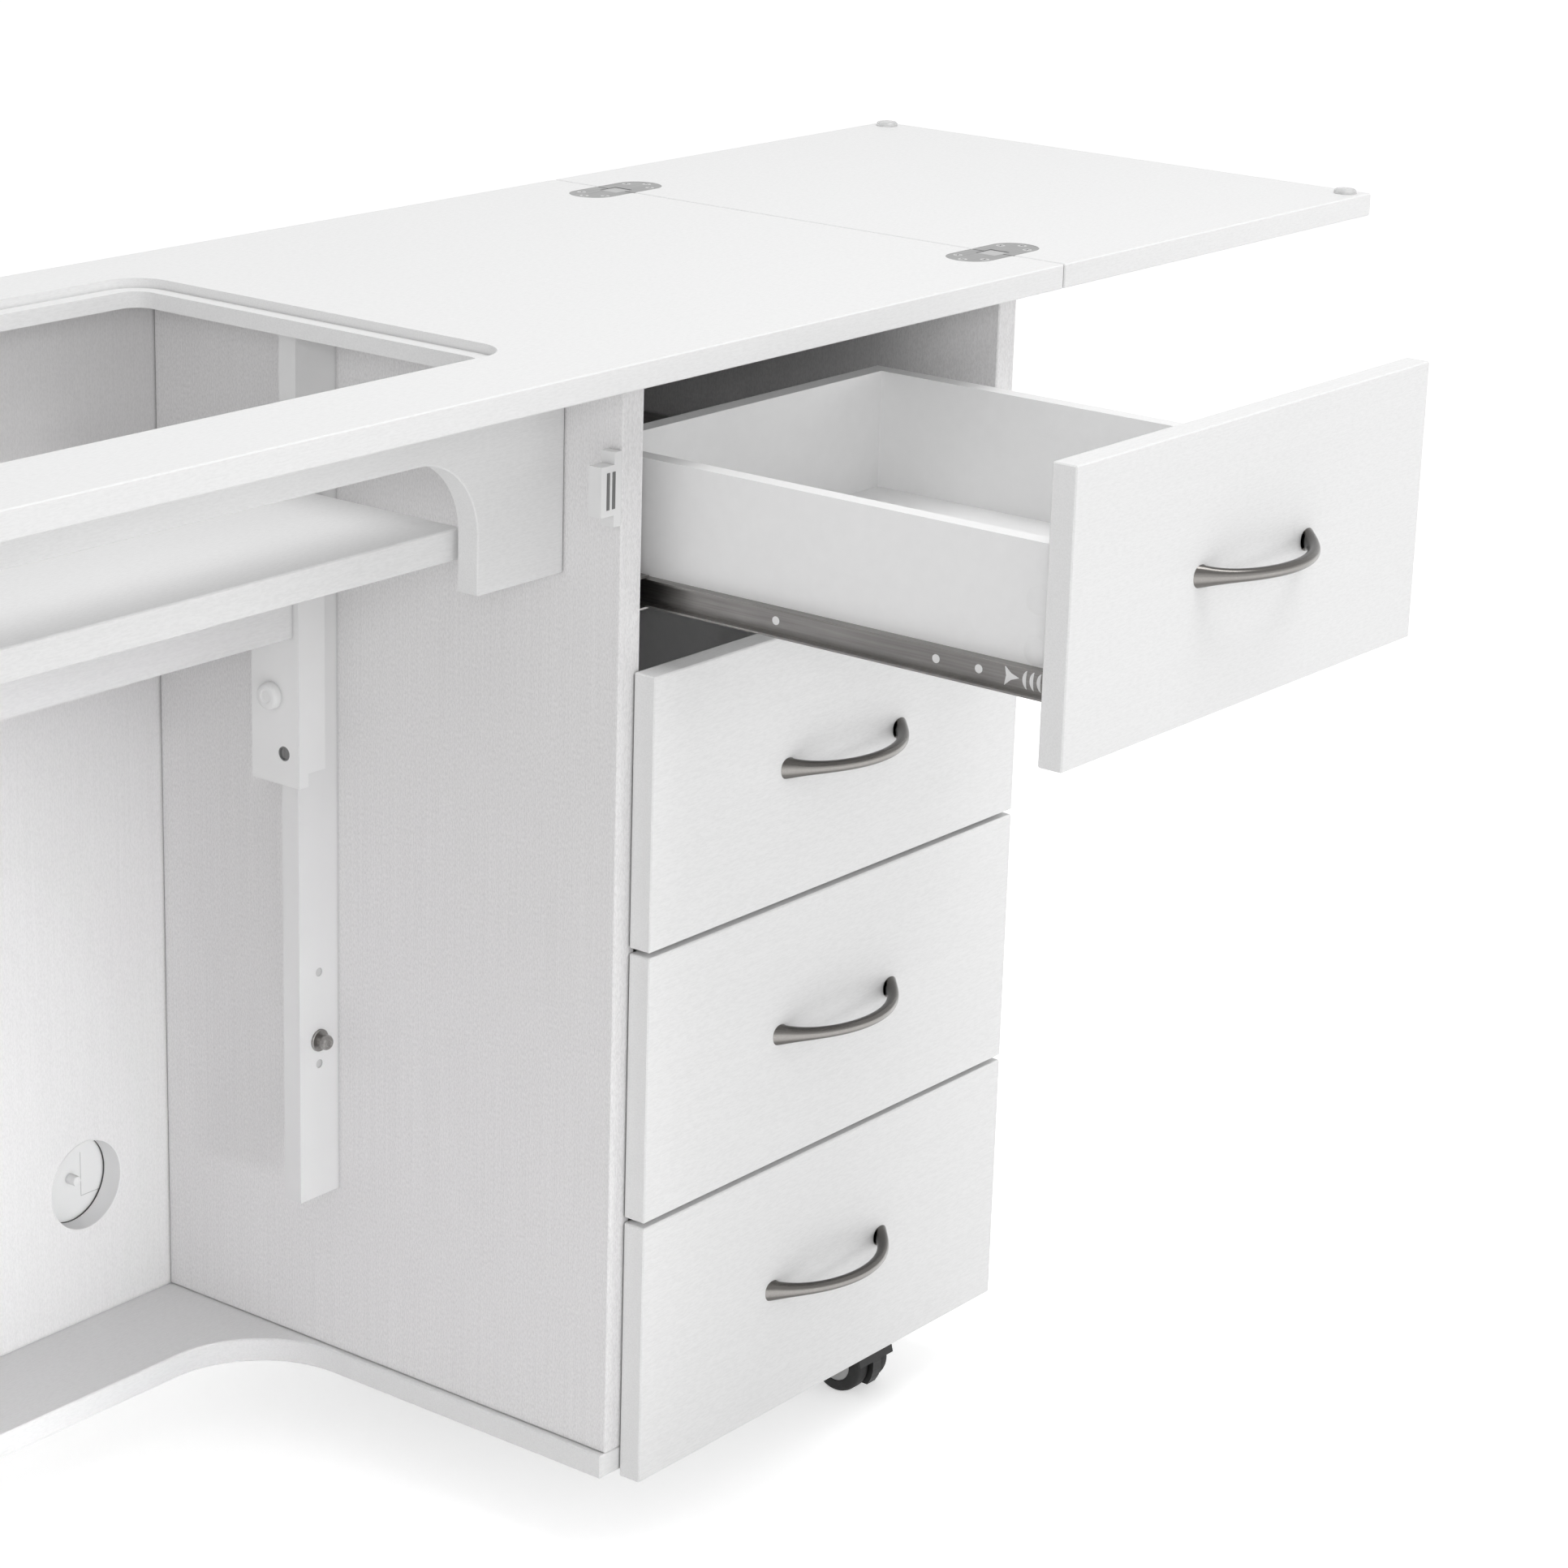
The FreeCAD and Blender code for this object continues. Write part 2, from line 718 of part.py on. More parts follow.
def carriage_blank():
    web = box("carriage_web", ("web_x", "carriage_front", "carriage_bottom"),
              ("carriage_wall", "carriage_depth", "carriage_drop"))
    flange = box("carriage_flange_plate",
                 ("web_x", "carriage_front", "carriage_bottom + carriage_tab_drop"),
                 ("carriage_flange", "carriage_wall", "carriage_drop - carriage_tab_drop"))
    tab = box("carriage_tab_plate", ("web_x", "carriage_front", "carriage_bottom"),
              ("carriage_tab", "carriage_wall", "2 * carriage_tab_drop"))
    shelf = box("carriage_shelf_plate",
                ("web_x - carriage_shelf", "carriage_front", "platform_under - carriage_wall"),
                ("carriage_shelf + carriage_wall", "carriage_depth", "carriage_wall"))
    bent = fuse("carriage_sheet", [web, flange, tab, shelf])
    hole = prism("carriage_hole_tool",
                 ("web_x - overcut", "carriage_front + carriage_hole_back",
                  "carriage_bottom + carriage_hole_rise"),
                 "carriage_hole", "carriage_wall + 2 * overcut", "x", SMALL_SIDES)
    return cut("carriage_blank", bent, hole)


def carriage_bolt_blank():
    z = "carriage_bottom + bolt_rise"
    length = "web_gap - guide_short"
    return group("carriage_bolt_blank", [
        prism("bolt_head_disc", ("web_x - bolt_head", "guide_y", z),
              "bolt_radius", "bolt_head", "x", SMALL_SIDES),
        prism("guide_pin_low", ("-web_gap", "guide_y", z), "guide_radius", length, "x", SMALL_SIDES),
        prism("guide_pin_top", ("-web_gap", "guide_y", "platform_under - guide_top_drop"),
              "guide_radius", length, "x", SMALL_SIDES),
    ])


def lift():
    right = ("divider_x", "front_y", "0")
    left = ("left_x + panel_thickness", "front_y", "0")
    nodes = []
    pairs = {}
    for label, master in (("lift_rail", lift_rail_blank()), ("stud", stud_blank()),
                          ("lift_carriage", carriage_blank()), ("bolt", carriage_bolt_blank())):
        turned = mirror_x(label + "_mirrored", master)
        pairs[label] = [copy(label + "_right", master, right), copy(label + "_left", turned, left)]
    nodes += pairs["lift_rail"] + pairs["lift_carriage"]
    nodes.append(group("rail_studs", pairs["stud"]))
    nodes.append(group("carriage_bolts", pairs["bolt"]))
    nodes.append(board("lift_platform",
                       ("hole_left + platform_gap", "hole_front + platform_gap", "platform_under"),
                       ("hole_width - 2 * platform_gap", "hole_depth - 2 * platform_gap",
                        "platform_thickness")))
    inset = "web_gap + carriage_wall"
    nodes.append(box("lift_crossbar",
                     ("left_x + panel_thickness + " + inset, "front_y + carriage_front + crossbar_back",
                      "platform_under - crossbar_drop - crossbar_height"),
                     ("knee_width - 2 * (%s)" % inset, "crossbar_depth", "crossbar_height")))
    return nodes


# Bow pull: sections along an arc, flared at the feet, cut off flat at the face (y = 0).

PULL_SIDES = 10
PULL_STATIONS = (-1.15, -0.94, -0.55, 0.0, 0.55, 0.94, 1.15)
FOOT_SLIM = 0.7


def pull_section(deep, tall):
    turns = [2 * math.pi * i / PULL_SIDES for i in range(PULL_SIDES + 1)]
    return Part.makePolygon([Vector(0, deep * math.cos(turn), tall * math.sin(turn)) for turn in turns])


def pull_shape():
    half = number("pull_spacing / 2")
    reach = number("pull_reach")
    thin = number("pull_mid_radius")
    foot = number("pull_foot_radius")
    radius = (half ** 2 + reach ** 2) / (2 * reach)
    swing = math.asin(half / radius)
    middle = Vector(0, radius - reach, 0)
    rings = []
    for share in PULL_STATIONS:
        angle = share * swing
        flare = min(1.0, abs(share)) ** 5
        tall = thin + (foot - thin) * flare
        deep = thin + (FOOT_SLIM * foot - thin) * flare
        ring = pull_section(deep, tall)
        ring.rotate(Vector(), Vector(0, 0, 1), math.degrees(angle))
        ring.translate(middle + Vector(radius * math.sin(angle), -radius * math.cos(angle), 0))
        rings.append(ring)
    bow = Part.makeLoft(rings, True, True)
    wide = 4 * half
    behind = Part.makeBox(wide, wide, wide, Vector(-wide / 2, 0, -wide / 2))
    return bow.cut(behind)


def pull_blank():
    item = doc.addObject("Part::Feature", "pull_blank")
    item.Shape = pull_shape()
    return item


# Drawers: front, box, bottom, pull and slide members; runners on the panels.

def runner_channel(label, side):
    """C-channel open towards the drawer; side is +1 on the divider, -1 on the end panel."""
    outer = box(label + "_outer", ("0", "0", "0"), ("runner_depth", "member_length", "runner_height"))
    inner = box(label + "_inner", ("runner_wall", "-overcut", "runner_wall"),
                ("runner_depth", "member_length + 2 * overcut", "runner_height - 2 * runner_wall"))
    channel = cut(label, outer, inner)
    return channel if side > 0 else mirror_x(label + "_turned", channel)


def drawer_level(n):
    return "fronts_bottom + (4 - %d) * front_pitch" % n


def cabinet_runners():
    near = runner_channel("runner_left", 1)
    far = runner_channel("runner_right", -1)
    items = []
    for n in DRAWERS:
        z = "%s + front_height - drawer_top_drop - drawer_height - runner_wall - runner_clear" \
            % drawer_level(n)
        items.append(copy("runner_left_%d" % n, near, ("bank_left", "front_y + runner_setback", z)))
        items.append(copy("runner_right_%d" % n, far,
                          ("bank_left + bank_inner", "front_y + runner_setback", z)))
    return group("cabinet_runners", items)


def member_blanks():
    """Rolled drawer members, open towards the runners, for the left and the right side."""
    outer = box("member_outer", ("-member_depth", "0", "0"),
                ("member_depth", "member_length", "member_height"))
    inner = box("member_inner", ("-member_depth - overcut", "-overcut", "member_wall"),
                ("member_depth + overcut - member_wall", "member_length + 2 * overcut",
                 "member_height - 2 * member_wall"))
    left = cut("member_left", outer, inner)
    return left, mirror_x("member_right", left)


def drawer(n, pull, members):
    name = "drawer_%d_" % n
    out = "drawer_open" if n == 1 else "0"
    face = "front_y - front_gap - front_thickness - %s" % out
    rear = "front_y - front_gap - %s" % out
    level = drawer_level(n)
    low = "%s + front_height - drawer_top_drop - drawer_height" % level
    left = "bank_left + drawer_side_gap"
    nodes = [board(name + "front", ("front_left", face, level),
                   ("front_width", "front_thickness", "front_height"))]
    wall = ("drawer_board", "drawer_depth", "drawer_height")
    walls = [
        box(name + "side_left", (left, rear, low), wall),
        box(name + "side_right", (left + " + box_width - drawer_board", rear, low), wall),
        box(name + "back", (left + " + drawer_board", rear + " + drawer_depth - drawer_board", low),
            ("box_width - 2 * drawer_board", "drawer_board", "drawer_height")),
    ]
    nodes.append(group(name + "box", walls))
    nodes.append(box(name + "bottom", (left + " + drawer_board", rear, low + " + bottom_inset"),
                     ("box_width - 2 * drawer_board", "drawer_depth - drawer_board",
                      "bottom_thickness")))
    nodes.append(copy(name + "pull", pull,
                      ("front_left + front_width / 2", face, level + " + front_height / 2")))
    sides = zip(("left", "right"), members, (left, left + " + box_width"))
    nodes.append(group(name + "slides", [
        copy(name + "member_" + side, master, (x, rear + " + member_setback", low))
        for side, master, x in sides
    ]))
    return nodes


# Knee door, shown folded back to the left, with its hinges, strike and pull.

def door_hinge_blanks():
    """Frame half (with the pin) and door half (open position) about the hinge axis."""
    third = "barrel_height / 3"
    half_gap = "door_gap / 2"
    plate = ("hinge_leaf_width + barrel_offset", "hinge_leaf_wall", "barrel_height")
    short = ("hinge_leaf_width + barrel_offset", "hinge_leaf_wall", third + " - 2 * slide_clear")
    y = half_gap + " - hinge_leaf_wall"
    frame = fuse("frame_half_blank", [
        cut("frame_leaf", box("frame_leaf_slab", ("0", y, "0"), plate),
            box("frame_leaf_gap", ("-overcut", y + " - overcut", third),
                ("barrel_radius + 2 * overcut", "hinge_leaf_wall + 2 * overcut", third))),
        rod("frame_knuckle_low", ("0", "0", "0"), "barrel_radius", third),
        rod("frame_knuckle_high", ("0", "0", "2 * " + third), "barrel_radius", third),
        rod("hinge_pin", ("0", "0", "0"), "pin_radius", "barrel_height"),
    ])
    door_leaf = fuse("door_leaf_joined", [
        box("door_leaf_slab", ("-(hinge_leaf_width + barrel_offset)", y, third + " + slide_clear"), short),
        rod("door_knuckle", ("0", "0", third + " + slide_clear"), "barrel_radius",
            third + " - 2 * slide_clear"),
    ])
    bore = rod("door_knuckle_bore", ("0", "0", "0"), "pin_radius + run_clear", "barrel_height")
    return frame, cut("door_half_blank", door_leaf, bore)


def knee_door(pull):
    frame_half, door_half = door_hinge_blanks()
    levels = ("base_top + hinge_margin", "top_under - hinge_margin - barrel_height")
    frames = [copy("frame_half_%d" % i, frame_half, ("axis_x", "axis_y", z))
              for i, z in enumerate(levels, start=1)]
    doors = [copy("door_half_%d" % i, door_half, ("axis_x", "axis_y", z))
             for i, z in enumerate(levels, start=1)]
    handle = copy("door_pull", pull, ("door_left + door_pull_inset", "front_y + door_thickness",
                                      "fronts_bottom + door_height - door_pull_drop"))
    handle.Placement.Rotation = (FreeCAD.Rotation(Vector(0, 1, 0), 90)
                                 * FreeCAD.Rotation(Vector(1, 0, 0), 180))
    return [
        board("knee_door", ("door_left", "front_y", "fronts_bottom"),
              ("door_width", "door_thickness", "door_height")),
        group("door_frame_hinges", frames),
        group("door_hinge_leaves", doors),
        handle,
        box("door_strike",
            ("door_left + door_lap", "front_y - strike_thickness", "catch_middle - catch_height / 2"),
            ("catch_width", "strike_thickness", "catch_height")),
    ]


def magnetic_catch():
    front = "front_y + catch_setback"
    housing = fuse("catch_housing", [
        box("catch_block", ("divider_x - catch_width", front, "catch_middle - catch_height / 2"),
            ("catch_width", "catch_depth", "catch_height")),
        box("catch_lugs",
            ("divider_x - catch_lug_width", front, "catch_middle - catch_lug_height / 2"),
            ("catch_lug_width", "catch_depth", "catch_lug_height")),
    ])
    low = "catch_middle - strip_height / 2"
    slots = []
    strips = []
    for i, inset in enumerate(("strip_first", "strip_second"), start=1):
        x = "divider_x - " + inset
        slots.append(box("strip_slot_%d" % i, (x, front + " - strip_depth", low),
                         ("strip_width", "2 * strip_depth", "strip_height")))
        strips.append(box("catch_strip_%d" % i, (x, front + " - strip_proud", low),
                          ("strip_width", "strip_depth + strip_proud", "strip_height")))
    return [cut("catch_body", housing, group("strip_slots", slots)), group("catch_strips", strips)]


# Cable port: a cover behind the back panel that swings on one screw, moved by its peg.

def cable_port():
    pivot_x = "port_x + pivot_offset"
    pivot_z = "port_height + pivot_rise"
    disc = rod("cover_disc", ("port_x", "cover_y", "port_height"), "cover_radius",
               "cover_thickness", "y")
    ear = rod("cover_ear", (pivot_x, "cover_y", pivot_z), "ear_radius", "cover_thickness", "y")
    bore = rod("cover_bore", (pivot_x, "cover_y - overcut", pivot_z), "screw_radius + run_clear",
               "cover_thickness + 2 * overcut", "y")
    cover = cut("port_cover", fuse("cover_plate", [disc, ear]), bore)
    shank = "cover_thickness + 2 * slide_clear"
    panel_back = "front_y + carcass_depth"
    screw = fuse("port_screw", [
        rod("screw_shank", (pivot_x, panel_back, pivot_z), "screw_radius", shank, "y"),
        prism("screw_head_disc", (pivot_x, panel_back + " + " + shank, pivot_z),
              "screw_head_radius", "screw_head", "y", SMALL_SIDES),
    ])
    knob = prism("port_knob", ("port_x", "cover_y - knob_length", "port_height"),
                 "knob_radius", "knob_length", "y", SMALL_SIDES)
    return [cover, screw, knob]


# Casters: fixed plate with king pin, swivelling hood, twin wheels on their axle.

NECK_SIDES = 8


def caster_blanks():
    """Hood, wheels and plate about the point on the floor under the king pin."""
    axle = ("-caster_trail", "axle_height")
    drum = prism("hood_drum", ("-hood_width / 2", *axle), "hood_radius", "hood_width", "x")
    neck = prism("hood_neck", ("0", "0", "axle_height"), "king_boss", "hood_top - axle_height",
                 sides=NECK_SIDES)
    solid = fuse("hood_solid", [drum, neck])
    behind = "-caster_trail - 2 * hood_radius"
    length = "4 * hood_radius"
    voids = [
        rod("king_bore", ("0", "0", "king_bottom - slide_clear"), "king_radius + slide_clear",
            "caster_height"),
        rod("axle_bore", ("-hood_width", *axle), "axle_radius + slide_clear", "2 * hood_width", "x"),
        box("hood_under", ("-hood_width", behind, "-hood_radius"),
            ("2 * hood_width", length, "hood_radius + hood_floor")),
    ]
    span = "hood_width - hood_web"
    for name, x in (("left", "-hood_width"), ("right", "hood_web")):
        voids.append(prism("hood_cavity_" + name, (x, *axle), "wheel_radius + hood_clear", span, "x"))
        voids.append(box("hood_side_" + name, (x, behind, "-hood_radius"),
                         (span, length, "hood_radius + axle_height + hood_skirt")))
    hood = cut("caster_hood_blank", solid, group("hood_voids", voids))
    pair = fuse("caster_wheels_blank", [
        prism("wheel_left", ("-wheel_web - wheel_width", *axle), "wheel_radius", "wheel_width", "x"),
        prism("wheel_right", ("wheel_web", *axle), "wheel_radius", "wheel_width", "x"),
        prism("wheel_axle", ("-wheel_web", *axle), "axle_radius", "2 * wheel_web", "x", SMALL_SIDES),
    ])
    plate = fuse("caster_plate_blank", [
        box("caster_plate_slab",
            ("-plate_size / 2", "-plate_size / 2", "caster_height - plate_thickness"),
            ("plate_size", "plate_size", "plate_thickness")),
        prism("king_pin", ("0", "0", "king_bottom"), "king_radius", "king_length", sides=SMALL_SIDES),
    ])
    return hood, pair, plate


def casters():
    hood, pair, plate = caster_blanks()
    near, far = "front_y + caster_depth_inset", "front_y + carcass_depth - caster_depth_inset"
    left, right = "left_x + caster_left_inset", "right_x - caster_right_inset"
    nodes = []
    plates = []
    for n, (x, y) in enumerate(((right, near), (right, far), (left, near), (left, far)), start=1):
        nodes.append(copy("caster_%d_hood" % n, hood, (x, y, "0")))
        nodes.append(copy("caster_%d_wheels" % n, pair, (x, y, "0")))
        plates.append(copy("caster_plate_%d" % n, plate, (x, y, "0")))
    nodes.append(group("caster_plates", plates))
    return nodes


def write(nodes):
    doc.recompute()
    for item in doc.Objects:
        if "Invalid" in item.State or "Error" in item.State:
            raise ValueError("%s is not in order: %s" % (item.Label, item.State))
    os.makedirs("parts", exist_ok=True)
    for node in nodes:
        if node.Shape.isNull() or not node.Shape.isValid():
            raise ValueError("no sound shape for " + node.Label)
        node.Shape.exportStep("parts/%s.step" % node.Label)


pull = pull_blank()
nodes = carcass() + leaf_hinges() + [make_leaf_board(), leaf_bumpers()] + lift()
nodes += [cabinet_runners()]
members = member_blanks()
for number_of_drawer in DRAWERS:
    nodes += drawer(number_of_drawer, pull, members)
nodes += knee_door(pull) + magnetic_catch() + cable_port() + casters()
write(nodes)
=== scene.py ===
import math

import bmesh
import bpy
from mathutils import Matrix, Vector

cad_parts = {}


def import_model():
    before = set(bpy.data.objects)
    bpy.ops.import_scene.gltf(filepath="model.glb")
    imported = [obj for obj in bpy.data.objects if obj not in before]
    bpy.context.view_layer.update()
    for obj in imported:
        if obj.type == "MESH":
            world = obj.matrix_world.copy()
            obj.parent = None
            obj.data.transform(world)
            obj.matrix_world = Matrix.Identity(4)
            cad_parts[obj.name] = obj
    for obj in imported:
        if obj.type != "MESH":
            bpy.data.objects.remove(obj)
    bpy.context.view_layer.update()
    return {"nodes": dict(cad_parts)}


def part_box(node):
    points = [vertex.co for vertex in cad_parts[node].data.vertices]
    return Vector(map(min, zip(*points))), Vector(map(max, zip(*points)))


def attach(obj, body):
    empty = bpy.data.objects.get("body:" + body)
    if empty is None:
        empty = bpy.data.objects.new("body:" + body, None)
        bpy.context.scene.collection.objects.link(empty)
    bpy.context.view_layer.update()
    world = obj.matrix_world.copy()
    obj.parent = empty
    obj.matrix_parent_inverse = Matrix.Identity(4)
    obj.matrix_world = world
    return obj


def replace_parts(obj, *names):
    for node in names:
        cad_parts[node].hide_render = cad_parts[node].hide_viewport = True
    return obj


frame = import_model()
nodes = frame["nodes"]
MM = 0.001
X_AXIS, Y_AXIS, Z_AXIS = Vector((1, 0, 0)), Vector((0, 1, 0)), Vector((0, 0, 1))
DRAWERS = (1, 2, 3, 4)
CASTERS = (1, 2, 3, 4)


# Shader helpers

# reach and tone of the painted shade that the occlusion node lays in narrow joints
JOINT_REACH, JOINT_SHADE_TONE = 4 * MM, 0.6
FOIL_SPECULAR = 0.35
STREAKS_ALONG, STREAK_SHARE = 6, 0.35


def new_material(name):
    material = bpy.data.materials.new(name)
    material.use_nodes = True
    tree = material.node_tree
    return material, tree, tree.nodes["Principled BSDF"]


def add(tree, kind, inputs=None, **props):
    item = tree.nodes.new(kind)
    for key, value in props.items():
        setattr(item, key, value)
    for key, value in (inputs or {}).items():
        item.inputs[key].default_value = value
    return item


def noise(tree, scale, detail=3.0, rough=0.6, size=1.0):
    """Noise over the piece's own coordinates; scale is cycles per metre on each axis."""
    coords = add(tree, "ShaderNodeTexCoord")
    mapping = add(tree, "ShaderNodeMapping", {"Scale": scale})
    texture = add(tree, "ShaderNodeTexNoise", {"Scale": size, "Detail": detail, "Roughness": rough})
    tree.links.new(coords.outputs["Object"], mapping.inputs["Vector"])
    tree.links.new(mapping.outputs["Vector"], texture.inputs["Vector"])
    return texture.outputs["Fac"]


def ramp(tree, factor, low, high, stops=(0.3, 0.7)):
    """Blend between two colours as the factor goes from the first stop to the second."""
    item = add(tree, "ShaderNodeValToRGB")
    for element, place, colour in zip(item.color_ramp.elements, stops, (low, high)):
        element.position = place
        element.color = (*colour, 1)
    tree.links.new(factor, item.inputs["Fac"])
    return item.outputs["Color"]


def spread(tree, factor, low, high):
    item = add(tree, "ShaderNodeMapRange", {"To Min": low, "To Max": high})
    tree.links.new(factor, item.inputs["Value"])
    return item.outputs["Result"]


def multiply(tree, first, second):
    item = add(tree, "ShaderNodeMix", data_type="RGBA", blend_type="MULTIPLY")
    item.inputs["Factor"].default_value = 1.0
    tree.links.new(first, item.inputs["A"])
    tree.links.new(second, item.inputs["B"])
    return item.outputs["Result"]


def joint_shade(tree, colour):
    """Darken a colour in the narrow joints between pieces: painted shade from a short-range
    occlusion node.
    """
    item = add(tree, "ShaderNodeAmbientOcclusion", {"Distance": JOINT_REACH}, samples=4)
    shade = ramp(tree, item.outputs["AO"], grey(JOINT_SHADE_TONE), grey(1.0), (0.2, 0.8))
    return multiply(tree, colour, shade)


def bump(tree, shader, height, strength, distance):
    item = add(tree, "ShaderNodeBump", {"Strength": strength, "Distance": distance})
    tree.links.new(height, item.inputs["Height"])
    tree.links.new(item.outputs["Normal"], shader.inputs["Normal"])


def along(axis, fast, slow):
    """Noise scales for streaks that run along one axis."""
    return tuple(slow if name == axis else fast for name in "xyz")


def grey(level, warm=0.0):
    return (level + warm, level, level - warm)


# Materials

def laminate(name, axis, tone, depth, across, length):
    """White foil with a fine wood grain of short strokes and faint long streaks along one axis.

    depth is its contrast, across and length the strokes per metre over and along the grain.
    """
    material, tree, shader = new_material(name)
    pores = noise(tree, along(axis, across, length), detail=3.0, rough=0.6)
    streaks = noise(tree, along(axis, across, STREAKS_ALONG), detail=2.0)
    fine = ramp(tree, pores, tuple(c * (1 - depth) for c in tone), tone, (0.36, 0.6))
    broad = ramp(tree, streaks, grey(1 - STREAK_SHARE * depth), grey(1.0), (0.35, 0.65))
    # the base colour carries painted shade in narrow joints
    tree.links.new(joint_shade(tree, multiply(tree, fine, broad)), shader.inputs["Base Color"])
    tree.links.new(spread(tree, pores, 0.52, 0.4), shader.inputs["Roughness"])
    shader.inputs["Specular IOR Level"].default_value = FOIL_SPECULAR
    bump(tree, shader, pores, 0.2, 0.12 * MM)
    return material


def foil(name, tone):
    """Smooth white foil of the drawer boxes, with a faint mottle."""
    material, tree, shader = new_material(name)
    mottle = noise(tree, (90, 90, 90), detail=2.0)
    tree.links.new(ramp(tree, mottle, grey(tone * 0.98), grey(tone)), shader.inputs["Base Color"])
    tree.links.new(spread(tree, mottle, 0.5, 0.42), shader.inputs["Roughness"])
    shader.inputs["Specular IOR Level"].default_value = FOIL_SPECULAR
    bump(tree, shader, mottle, 0.05, 0.2 * MM)
    return material


def brush(tree, shader, lines, tone, rough):
    """Bare metal of one tone, its gloss and surface following the brushed lines."""
    tree.links.new(tone, shader.inputs["Base Color"])
    tree.links.new(spread(tree, lines, rough * 1.25, rough * 0.8), shader.inputs["Roughness"])
    shader.inputs["Metallic"].default_value = 1.0
    bump(tree, shader, lines, 0.06, 0.05 * MM)


def metal(name, low, high, axis, rough, coarse=900):
    """Brushed metal with streaks along one axis and cloudy changes of tone."""
    material, tree, shader = new_material(name)
    lines = noise(tree, along(axis, coarse, 12), detail=3.0)
    clouds = noise(tree, (25, 25, 25), detail=2.0)
    tone = multiply(tree, ramp(tree, lines, low, high),
                    ramp(tree, clouds, grey(0.88), grey(1.0)))
    brush(tree, shader, lines, tone, rough)
    return material


def painted_highlight_nickel(name, dark, highlight_tone, rough):
    """Satin nickel with a painted highlight along the outer line of a bow and painted darker
    reflection on its flanks.
    """
    material, tree, shader = new_material(name)
    highlight_mask = add(tree, "ShaderNodeAttribute", attribute_name="highlight_mask")
    lines = noise(tree, along("x", 1400, 12), detail=3.0)
    # painted highlight along the bow's outer line, and painted darker reflection on its top, bottom
    # and inner side
    painted_highlight_band = ramp(tree, highlight_mask.outputs["Fac"], dark, highlight_tone, (0.88, 1.0))
    painted_dark_flanks = ramp(tree, highlight_mask.outputs["Fac"], grey(0.45), grey(1.0), (0.1, 0.65))
    streak = ramp(tree, lines, grey(0.88), grey(1.0))
    tone = multiply(tree, multiply(tree, painted_highlight_band, painted_dark_flanks), streak)
    brush(tree, shader, lines, tone, rough)
    return material


def paint(name, tone, rough=0.38):
    """Powder coat or moulded plastic: fine orange peel and a little change of tone."""
    material, tree, shader = new_material(name)
    peel = noise(tree, (420, 420, 420), detail=1.5)
    clouds = noise(tree, (14, 14, 14), detail=2.0)
    tone_map = ramp(tree, clouds, tuple(0.965 * c for c in tone), tone)
    # the base colour carries painted shade in narrow joints
    tree.links.new(joint_shade(tree, tone_map), shader.inputs["Base Color"])
    tree.links.new(spread(tree, peel, rough * 1.15, rough * 0.85), shader.inputs["Roughness"])
    bump(tree, shader, peel, 0.08, 0.1 * MM)
    return material


def rubber(name, tone):
    material, tree, shader = new_material(name)
    grains = noise(tree, (700, 700, 700), detail=3.0)
    dust = noise(tree, (60, 60, 60), detail=3.0)
    colour = ramp(tree, dust, tone, tuple(1.7 * c for c in tone), (0.45, 0.85))
    tree.links.new(colour, shader.inputs["Base Color"])
    tree.links.new(spread(tree, grains, 0.75, 0.55), shader.inputs["Roughness"])
    bump(tree, shader, grains, 0.15, 0.15 * MM)
    return material


def soft_clear(name):
    """Clear soft plastic of the leaf's bumpers."""
    material, tree, shader = new_material(name)
    haze = noise(tree, (300, 300, 300), detail=2.0)
    tree.links.new(ramp(tree, haze, grey(0.78), grey(0.9)), shader.inputs["Base Color"])
    tree.links.new(spread(tree, haze, 0.28, 0.18), shader.inputs["Roughness"])
    shader.inputs["Transmission Weight"].default_value = 0.45
    shader.inputs["IOR"].default_value = 1.45
    bump(tree, shader, haze, 0.05, 0.1 * MM)
    return material


MATERIALS = {
    "grain_x": laminate("laminate_grain_x", "x", grey(0.85), 0.05, 1000, 220),
    "grain_z": laminate("laminate_grain_z", "z", (0.888, 0.88, 0.883), 0.125, 1150, 450),
    "grain_back": laminate("laminate_grain_back", "z", (0.856, 0.848, 0.851), 0.075, 1150, 450),
    "foil": foil("drawer_foil", 0.91),
    # the nickel's second tone is the painted highlight along each bow's outer line
    "nickel": painted_highlight_nickel("satin_nickel", grey(0.14, 0.007), grey(0.33, 0.014), 0.19),
    "slide": metal("rolled_steel", grey(0.3, 0.01), grey(0.4, 0.01), "y", 0.34),
    "hinge": metal("satin_zinc", grey(0.32), grey(0.4), "x", 0.4),
    "link": metal("bright_zinc", grey(0.48), grey(0.56), "y", 0.36),
    "screw": metal("bright_screw", grey(0.6), grey(0.72), "x", 0.3, 1500),
    # dark metal of the screws' cross recesses: painted shade
    "recess": metal("screw_recess_shade", grey(0.12), grey(0.18), "x", 0.5, 1500),
    "strip": metal("dark_pole", grey(0.22), grey(0.3), "z", 0.4),
    "white_paint": paint("white_powder_coat", grey(0.88)),
    # darker copy of the carriages' white powder coat on the rails, so the carriage's flange stands
    # out: painted shade
    "rail_shaded_paint": paint("rail_powder_coat_shaded", grey(0.81)),
    "white_plastic": paint("white_plastic", grey(0.85), 0.3),
    "grey_plastic": paint("grey_plastic", grey(0.5), 0.4),
    "pale_grey": paint("pale_grey_plastic", grey(0.6), 0.45),
    "black_plastic": paint("black_plastic", grey(0.012), 0.5),
    "tread": rubber("black_tread", grey(0.011)),
    # grey of the seam lines: painted shadow
    "seam": paint("seam_shadow", grey(0.55), 0.6),
    # dark rubber of the ring behind the port's hole: painted shadow
    "shadow_ring": rubber("painted_shadow_ring", grey(0.06)),
    "bumper": soft_clear("clear_bumper"),
}
